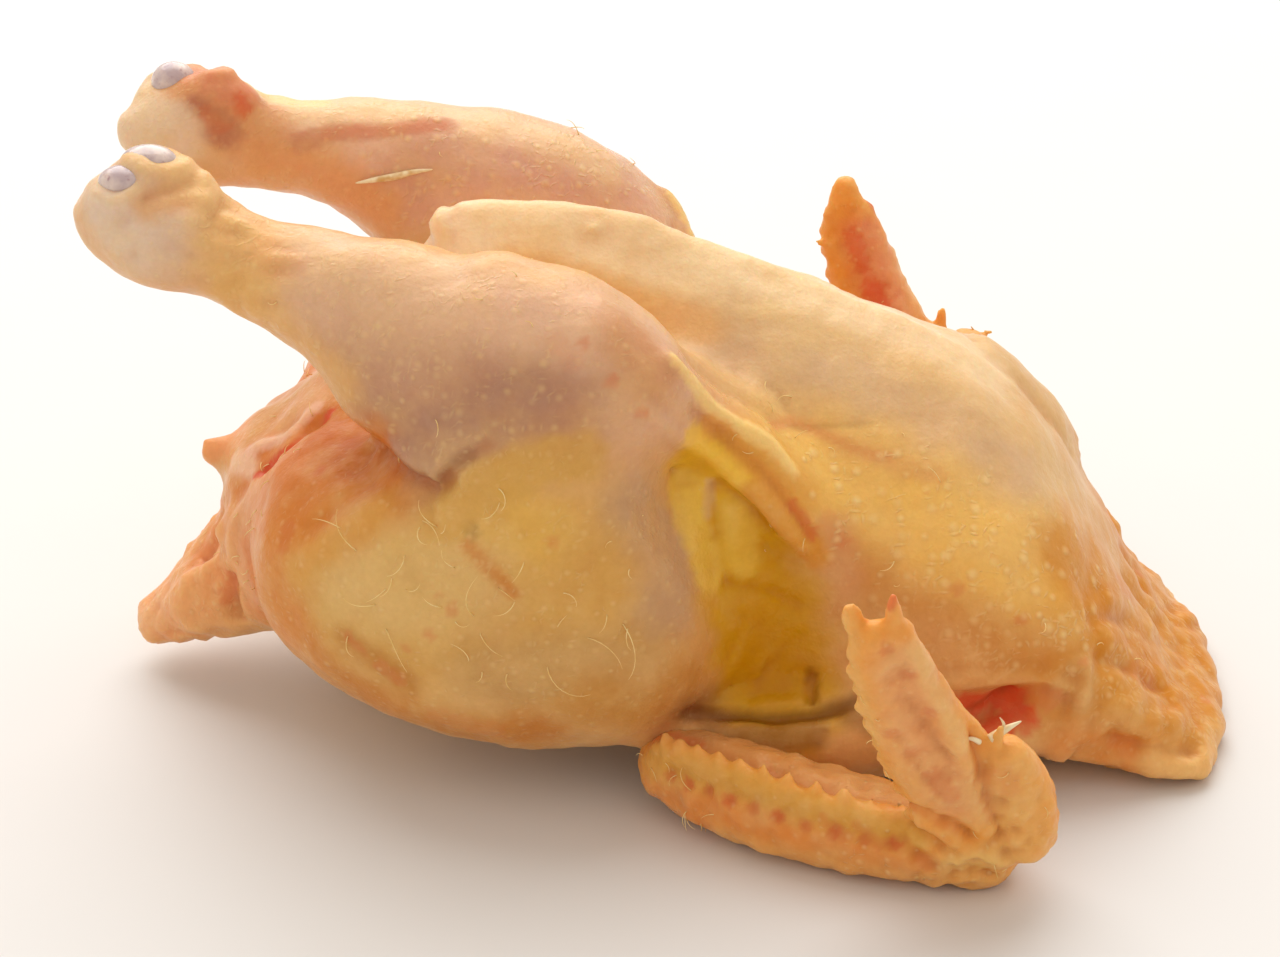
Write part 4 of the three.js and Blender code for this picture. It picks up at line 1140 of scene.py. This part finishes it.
# Quills and shards of horn: sides, half thickness along the path, and the path.
QUILLS = [
    (RIGHT_ONLY, [0.2, 0.7, 0.9, 0.7, 0.2],
     [(-71, -21, 123.6), (-66, -21, 124.6), (-61, -22, 125.2), (-57, -23, 126), (-52, -23, 126.8)]),
    (LEFT_ONLY, [1.4, 1.0, 0.2], [(83, -104, 45), (86, -103, 47), (90, -102, 49)]),
    (SIDES, [0.7, 0.5, 0.15], [(81, -105, 45), (79, -106, 46.5), (77, -107, 47)]),
    (SIDES, [0.6, 0.4, 0.1], [(85, -104, 46), (86, -104, 49), (85, -104, 51)]),
]

# Where hair feathers stand: how likely, least and greatest length in mm, patch width and path.
HAIRS = [
    (1.0, 4, 14, 20, [(-54, -69, 62), (-40, -72, 60), (-16, -74, 58)]),
    (2.5, 3, 9, 8, [(-42, -69, 84), (-34, -71, 86)]),
    (0.35, 2, 5, 18, [(34, -42, 84), (60, -42, 72)]),
    (0.5, 2, 4, 18, [(-84, -26, 64), (-90, -28, 44)]),
    (0.3, 2, 5, 20, [(112, -46, 30)]),
    (0.15, 2, 5, 30, [(-60, -50, 110), (-20, -55, 112)]),
]
WING_HAIRS = [
    (1.0, 2, 6, 7, [(10, -72, 14), (20, -80, 8)]),
    (0.5, 2, 4, 8, [(56, -110, 60), (62, -104, 40)]),
    (0.3, 2, 5, 10, [(90, -104, 16), (84, -104, 34)]),
]


CONDYLE_SINK = 2.2    # how deep under the skin the middle of a condyle lies


def condyles(skin):
    """The condyles of the cut hocks, which stand half out of the skin."""
    parts = []
    for sides, place, radii in CONDYLES:
        for side in sides:
            spot = laid(skin, np.array([place], float) * (1, -side, 1))
            number, _ = nearest_of(spot, skin[0])
            parts.append(ball(spot[0] - CONDYLE_SINK * skin[1][number[0]], radii, rings=24, sides=32))
    return joined(parts)


def quills():
    """The quills and the shards of horn, as thin round tubes."""
    parts = []
    for sides, thick, path in QUILLS:
        for side in sides:
            tube = tube_surface(np.array(path, float) * (1, -side, 1), np.stack([thick, thick], 1),
                                exponent=2, round_end=0.05, up=(0.1, 0.3, 1))
            parts.append(closed_skin(tube, 14, 8))
    return joined(parts)


HAIR_RINGS, HAIR_SIDES = 9, 5


def hairs(skin, zones, count, thickness, seed):
    """Fine hairs: each leaves the skin along it, bends in an arc and lifts a little off it, as a
    five-sided tube that thins to its tip."""
    points, normals = skin
    draw = np.random.default_rng(seed)
    chance, shortest, longest = (np.zeros(len(points)) for _ in range(3))
    for number, (likely, low, high, width, path, sides) in enumerate(with_sides(zones)):
        share = patch(skin, path, width, sides, 0.3, HAIR_SEED + number)
        chance += share * (likely - chance)
        shortest += share * (low - shortest)
        longest += share * (high - longest)
    root = draw.choice(len(points), count, replace=False, p=chance / chance.sum())
    length = shortest[root] + (longest - shortest)[root] * draw.uniform(size=count) ** 1.6
    upward = normals[root]
    heading = draw.normal(size=(count, 3)) + (0, 0, -0.6)
    heading = unit(heading - (heading * upward).sum(1, keepdims=True) * upward)
    sideways = np.cross(upward, heading)
    share = np.linspace(0, 1, HAIR_RINGS)
    bend = (draw.uniform(0.4, 2.2, count) * draw.choice([-1, 1], count))[:, None]
    ahead, aside = np.sin(bend * share) / bend, (1 - np.cos(bend * share)) / bend
    lift = draw.uniform(0.12, 0.5, count)[:, None] * np.sin(share * np.pi * 0.6)
    path = points[root][:, None] + length[:, None, None] * (
        ahead[..., None] * heading[:, None] + aside[..., None] * sideways[:, None]
        + lift[..., None] * upward[:, None])
    tangent = unit(np.gradient(path, axis=1))
    across = unit(np.cross(tangent, upward[:, None] + 0.01))
    deep = np.cross(across, tangent)
    turn = 2 * np.pi * np.arange(HAIR_SIDES) / HAIR_SIDES
    half = thickness * (1 - 0.75 * share)[None, :, None, None]
    rings = path[:, :, None] + half * (
        np.cos(turn)[:, None] * across[:, :, None] + np.sin(turn)[:, None] * deep[:, :, None])
    number = np.arange(count * HAIR_RINGS * HAIR_SIDES).reshape(count, HAIR_RINGS, HAIR_SIDES)
    after = np.roll(number, -1, axis=2)
    quads = np.stack([number[:, :-1], after[:, :-1], after[:, 1:], number[:, 1:]], -1).reshape(-1, 4)
    fan = np.array([(0, 2, 1), (0, 3, 2), (0, 4, 3)])
    ends = np.vstack([number[:, 0][:, fan].reshape(-1, 3), number[:, -1][:, fan[:, ::-1]].reshape(-1, 3)])
    return rings.reshape(-1, 3), quads, ends


# ---- The bird put together -----------------------------------------------------------------------

raw_skin = raw_poultry_skin()
cartilage = hyaline_cartilage()
quill_horn = feather_horn("quill horn", "#f6e6bd", "#d9b070")
hair_horn = feather_horn("hair feather", "#fbe3a0", "#f0c874")

# The lattices of follicles over the body's limbs: limb, its loft, rows along it and places in a row.
LATTICES = [
    (THIGH, dict(exponent=2.3, round_end=0.2), 30, 56), (DRUMSTICK, dict(round_end=0.08), 40, 34),
    (KNEE_FOLD, dict(round_end=0.3), 14, 12), (UPPER_WING, {}, 16, 12),
]
trunk_rows = follicle_rows(trunk_surface, 70, 96, seed=1)
tail_rows = follicle_rows(limb_surface(TAIL, RIGHT), 14, 22, seed=2)
limb_rows = [follicle_rows(limb_surface(table, side, **form), rows, columns, seed=3)
             for table, form, rows, columns in LATTICES for side in SIDES]
body_skin = skin_piece(
    "body_skin", body_mesh(), GOLDEN_SKIN, BODY_TINTS, BODY_EDGED, BODY_BLOOD, BODY_SHADE,
    lattices=[trunk_rows, *limb_rows, tail_rows], zones=BODY_DOTS, relief=(6, 0.7))

wing_skins = []
for side, name in ((LEFT, "left_wing_skin"), (RIGHT, "right_wing_skin")):
    wing_rows = [follicle_rows(limb_surface(table, side, **form), rows, 18, seed=4)
                 for (table, form), rows in zip(WING_LIMBS, (22, 16, 8))]
    wing_skins.append(skin_piece(
        name, wing_mesh(side), WING_SKIN, WING_TINTS, [], WING_BLOOD, [],
        lattices=wing_rows, zones=WING_DOTS, relief=(8, 0.6)))

body_hairs = hairs(body_skin, HAIRS, count=170, thickness=0.15, seed=21)
wing_hairs = [hairs(skin, WING_HAIRS, count=22, thickness=0.12, seed=22) for skin in wing_skins]
dress(mesh_object("hock_cartilage", *condyles(body_skin)), cartilage)
dress(mesh_object("quills", *quills()), quill_horn)
dress(mesh_object("hair_feathers", *joined([body_hairs, *wing_hairs])), hair_horn)

# ---- Floor, light and camera ---------------------------------------------------------------------

FLOOR_HALF = 4000    # half its width
FLOOR_DROP = 0.05    # how far it lies under the bird
corners = np.array([(-1, -1, 0), (1, -1, 0), (1, 1, 0), (-1, 1, 0)]) * FLOOR_HALF - (0, 0, FLOOR_DROP)
floor = mesh_object("floor", corners, np.array([[0, 1, 2, 3]]))
floor.data.materials.append(white_paper())

scene = bpy.context.scene
scene.view_settings.view_transform = "Standard"
world = bpy.data.worlds.new("white studio")
world.use_nodes = True
feed(world.node_tree, world.node_tree.nodes["Background"], {"Color": "#fff6ec", "Strength": 0.755})
scene.world = world


def aimed(thing, place, target):
    """Puts a lamp or camera at a place, looking at a target, both in millimetres."""
    thing.location = Vector(place) * MM
    thing.rotation_euler = (Vector(target) - Vector(place)).to_track_quat("-Z", "Y").to_euler()


LAMP_TARGET = (0, 0, 40)


def studio_lamp(name, kind, place, power, **settings):
    """Adds a lamp that looks at the bird, with its power in watts."""
    lamp = bpy.data.lights.new(name, kind)
    lamp.energy = power
    for setting, value in settings.items():
        setattr(lamp, setting, value)
    holder = bpy.data.objects.new(name, lamp)
    scene.collection.objects.link(holder)
    aimed(holder, place, LAMP_TARGET)


studio_lamp("back_bank", "AREA", (-300, 1500, 2020), 62, shape="DISK", size=3.4)

VIEW_AZIMUTH, VIEW_ELEVATION, VIEW_DISTANCE = np.radians(3), np.radians(27), 880
VIEW_TARGET = np.array([0, 0, 55])
camera_data = bpy.data.cameras.new("camera")
camera_data.lens = 100
camera_data.sensor_width = 36
camera_data.clip_start = 0.05
camera = bpy.data.objects.new("camera", camera_data)
scene.collection.objects.link(camera)
level = np.cos(VIEW_ELEVATION)
back = np.array([np.sin(VIEW_AZIMUTH) * level, -np.cos(VIEW_AZIMUTH) * level, np.sin(VIEW_ELEVATION)])
aimed(camera, VIEW_TARGET + back * VIEW_DISTANCE, VIEW_TARGET)
scene.camera = camera
